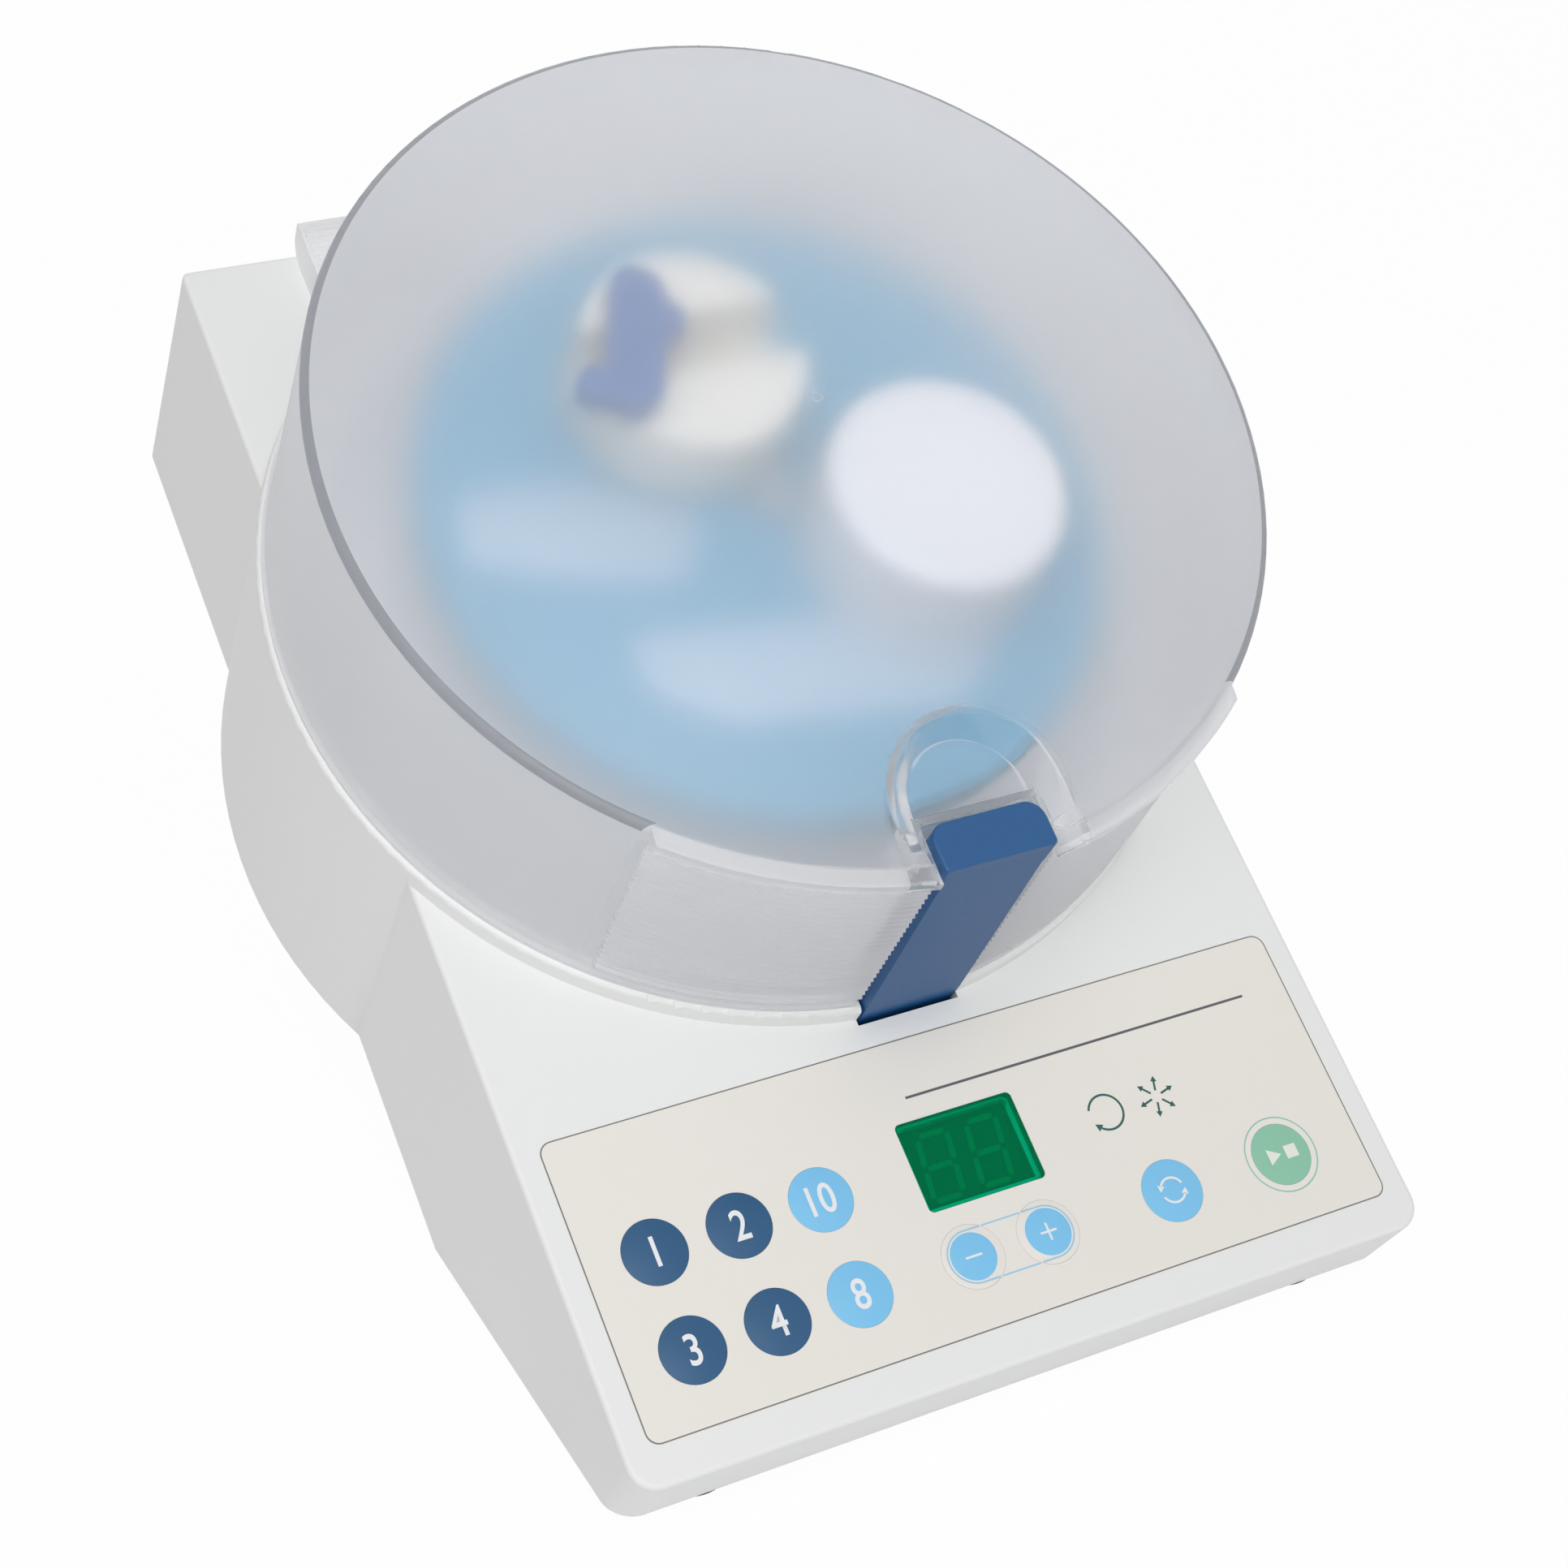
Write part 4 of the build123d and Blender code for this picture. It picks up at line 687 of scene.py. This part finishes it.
# print on the control label and the keys, in metres
printLook = {
    "depth": 0.00003,
    "lift": 0.00002,
    "gap": {"length": 0.1549, "width": 0.0569, "corner": 0.00255, "line": 0.00034, "row": 0.0357,
            "top": 0.07054},
    "titleLine": {"left": -0.0078, "right": 0.0676, "row": 0.05285, "width": 0.0005},
    "pairOutline": {"half": 0.005, "line": 0.0003, "onCap": 0.00335, "offCap": 0.0039, "lift": 0.00014},
    "startRing": {"outer": 0.00762, "inner": 0.00734},
    "number": {"height": 0.0080, "stretch": 0.82, "boldness": 0.012},
    "sign": {"length": 0.0034, "arm": 0.0015, "armMiddle": 0.00096, "stroke": 0.00042},
    "modeRing": {"outer": 0.00265, "inner": 0.0022, "head": 0.00085, "headRadius": 0.00243},
    "startSign": {"head": 0.0019, "square": 0.0026, "apart": 0.0021},
    "turnArrow": {"spot": (0.0293, 0.0389), "radius": 0.0035, "stroke": 0.00045, "head": 0.00095},
    "spreadArrows": {"spot": (0.0406, 0.0389), "near": 0.0012, "far": 0.0032, "stroke": 0.00042,
                     "head": 0.00075},
}
labelTop = topOf("control_label") + printLook["lift"]


def printed(bm, name, spot, top, finishName, body="housing"):
    # spot is across and up from the console's front edge
    thicken(bm, printLook["depth"])
    onDeck(bm, (spot[0], deckFrame["frontV"] + spot[1], top))
    return finishMesh(bm, name, body, finishes[finishName], 40)


def makeTitleLine():
    look = printLook["titleLine"]
    bm = bmesh.new()
    barShape(bm, look["right"] - look["left"], look["width"])
    printed(bm, "titleLine", ((look["left"] + look["right"]) / 2, look["row"]), labelTop, "ink")


def makePairOutline():
    # one outline round minus and plus: bars on the label, and a bow on each cap
    look = printLook["pairOutline"]
    half, line, reach = look["half"], look["line"], look["onCap"]
    apart = keySpots["plus_key"][0] - keySpots["minus_key"][0]
    bm = bmesh.new()
    for row in (-half, half):
        barShape(bm, apart - 2 * look["offCap"], line, (0, row))
    printed(bm, "keyPairOutline", (0, keyRows["lower"]), labelTop, "paleBlueInk")
    for node, side in (("minus_key", -1), ("plus_key", 1)):
        bm = bmesh.new()
        ringShape(bm, half + line / 2, half - line / 2, 40, -side * math.pi / 2, math.pi)
        for row in (-half, half):
            barShape(bm, reach, line, (-side * reach / 2, row))
        printed(bm, node + ".outline", keySpots[node], labelTop + look["lift"], "paleBlueInk",
                bodyOf(node))


def makeStartRing():
    bm = bmesh.new()
    ringShape(bm, printLook["startRing"]["outer"], printLook["startRing"]["inner"])
    printed(bm, "startKeyRing", keySpots["start_key"], labelTop, "greenInk")


def turnArrowShape(radius, stroke, head):
    bm = bmesh.new()
    ringShape(bm, radius + stroke / 2, radius - stroke / 2, 40, math.radians(-130), math.radians(290))
    end = math.radians(-138)
    headShape(bm, head, (radius * math.cos(end), radius * math.sin(end)), end - math.pi / 2)
    return bm


def makeTurnArrow():
    look = printLook["turnArrow"]
    arrow = turnArrowShape(look["radius"], look["stroke"], look["head"])
    printed(arrow, "turningArrow", look["spot"], labelTop, "darkGreenInk")


def makeSpreadArrows():
    look = printLook["spreadArrows"]
    bm = bmesh.new()
    for step in range(6):
        turn = math.radians(15 + 60 * step)
        length = look["far"] - look["near"]
        barShape(bm, length, look["stroke"], (look["near"] + length / 2, 0), turn)
        reach = look["far"] + look["head"] * 0.3
        headShape(bm, look["head"], (reach * math.cos(turn), reach * math.sin(turn)), turn)
    printed(bm, "spreadingArrows", look["spot"], labelTop, "darkGreenInk")


def makeLabelGap():
    # a painted shadow: a dark line where the gap round the label's edge falls into shade
    look = printLook["gap"]
    bm = bmesh.new()
    roundedPlate(bm, look["length"], look["width"], look["corner"], 10)
    outline(bm, look["line"])
    printed(bm, "labelGapShadow", (0, look["row"]), look["top"], "gapShadowInk")


makeLabelGap()
makeTitleLine()
makePairOutline()
makeStartRing()
makeTurnArrow()
makeSpreadArrows()



def printedOnKey(bm, node, finishName):
    printed(bm, node + ".mark", keySpots[node], topOf(node) + printLook["lift"], finishName,
            bodyOf(node))


def makeNumbers():
    look = printLook["number"]
    numbers = {"preset_key_1": "1", "preset_key_2": "2", "preset_key_3": "3", "preset_key_4": "4",
               "time_key_10": "10", "time_key_8": "8"}
    for node, words in numbers.items():
        number = textShape(words, look["height"], look["stretch"], look["boldness"])
        printedOnKey(number, node, "whiteInk")


def makeSignMarks():
    look = printLook["sign"]
    for node in ("minus_key", "plus_key"):
        bm = bmesh.new()
        barShape(bm, look["length"], look["stroke"])
        if node == "plus_key":
            barShape(bm, look["stroke"], look["arm"], (0, look["armMiddle"]))
            barShape(bm, look["stroke"], look["arm"], (0, -look["armMiddle"]))
        printedOnKey(bm, node, "whiteInk")


def makeModeMark():
    # two arrows chasing each other, for changing over
    look = printLook["modeRing"]
    radius = look["headRadius"]
    bm = bmesh.new()
    for start in (20, 200):
        ringShape(bm, look["outer"], look["inner"], 20, math.radians(start), math.radians(130))
        end = math.radians(start + 137)
        headShape(bm, look["head"], (radius * math.cos(end), radius * math.sin(end)), end + math.pi / 2)
    printedOnKey(bm, "mode_key", "whiteInk")


def makeStartMark():
    # triangle for start, square for stop
    look = printLook["startSign"]
    bm = bmesh.new()
    headShape(bm, look["head"], (-look["apart"], 0), 0.0)
    barShape(bm, look["square"], look["square"], (look["apart"], 0))
    printedOnKey(bm, "start_key", "creamInk")


makeNumbers()
makeSignMarks()
makeModeMark()
makeStartMark()
print("stage: label and key prints ready")


sprueLook = {"radius": 0.00095, "wire": 0.00016}


def makeSprueRing():
    bm = bmesh.new()
    bmesh.ops.create_circle(bm, cap_ends=False, segments=12, radius=sprueLook["wire"])
    bmesh.ops.rotate(bm, verts=bm.verts, cent=(0, 0, 0), matrix=Matrix.Rotation(math.pi / 2, 3, "X"))
    bmesh.ops.translate(bm, verts=bm.verts, vec=(sprueLook["radius"], 0, 0))
    bmesh.ops.spin(bm, geom=bm.verts[:] + bm.edges[:], cent=(0, 0, 0), axis=(0, 0, 1),
                   angle=math.tau, steps=32, use_merge=True, use_duplicate=False)
    bmesh.ops.remove_doubles(bm, verts=bm.verts, dist=0.0000005)
    onDeck(bm, (0, 0, topOf("lid") - sprueLook["wire"] * 1.1))
    finishMesh(bm, "sprueMark", bodyOf("lid"), finishes["sprue"], 40)


rotorBands = {
    "height": 0.0004,
    "corner": 0.003,
    "edge": 0.00015,
    "low": 0.104,
    "wide": [(-0.059, 0.014), (-0.062, -0.0006), (-0.044, -0.008), (-0.022, -0.0135),
             (-0.015, -0.0004), (-0.037, 0.012)],
    "long": [(-0.0385, -0.022), (-0.038, -0.034), (-0.026, -0.044), (0.019, -0.050),
             (0.032, -0.041), (0.014, -0.029), (-0.018, -0.024)],
}


def makeRotorBands():
    for name in ("wide", "long"):
        bm = bmesh.new()
        bm.faces.new([bm.verts.new((u, v, 0)) for u, v in rotorBands[name]])
        bmesh.ops.bevel(bm, geom=bm.verts[:], offset=rotorBands["corner"], affect="VERTICES", segments=5,
                        profile=0.5, material=-1, offset_type="OFFSET")
        bmesh.ops.recalc_face_normals(bm, faces=bm.faces)
        grown = bmesh.ops.extrude_face_region(bm, geom=bm.faces[:])
        risen = [item for item in grown["geom"] if isinstance(item, bmesh.types.BMVert)]
        bmesh.ops.translate(bm, verts=risen, vec=(0, 0, rotorBands["height"]))
        rim = [edge for edge in bm.edges if all(vertex.co.z > 0.0001 for vertex in edge.verts)]
        bmesh.ops.bevel(bm, geom=rim, offset=rotorBands["edge"], affect="EDGES", segments=2,
                        profile=0.5, material=-1, offset_type="OFFSET")
        onDeck(bm, (0, 0, rotorBands["low"]))
        finishMesh(bm, name + "RotorBand", "rotor_body", finishes["band"], 40)


rockerMarks = {
    "pivot": (0.020, 0.095, 0.036),
    "tilt": math.radians(7),
    "faceSlope": math.radians(14.35),
    "half": 0.0043,
    "faceMiddle": 0.0042,
    "faceRise": 0.0022 / 0.0086,
    "bar": (0.0006, 0.0042),
    "ring": (0.0021, 0.0015),
    "lift": 0.00004,
}


def makeRockerMarks():
    look = rockerMarks
    # drawn flat, then stood up on its half of the rocker's face, looking to the rear
    stand = Matrix.Rotation(math.pi, 4, "Z") @ Matrix.Rotation(math.pi / 2, 4, "X")
    rocker = Matrix.Translation(look["pivot"]) @ Matrix.Rotation(look["tilt"], 4, "X")
    depth = look["faceMiddle"] + look["half"] * look["faceRise"] + look["lift"]
    for name, side in (("on", 1), ("off", -1)):
        bm = bmesh.new()
        if name == "on":
            barShape(bm, *look["bar"])
        else:
            ringShape(bm, *look["ring"], 40)
        thicken(bm, look["lift"])
        place = rocker @ Matrix.Translation((0, depth, side * look["half"]))
        bmesh.ops.recalc_face_normals(bm, faces=bm.faces)
        bm.transform(place @ Matrix.Rotation(-side * look["faceSlope"], 4, "X") @ stand)
        finishMesh(bm, name + "Mark", "rocker_body", finishes["whiteInk"], 40)


makeSprueRing()
makeRotorBands()
makeRockerMarks()
print("stage: small details ready")
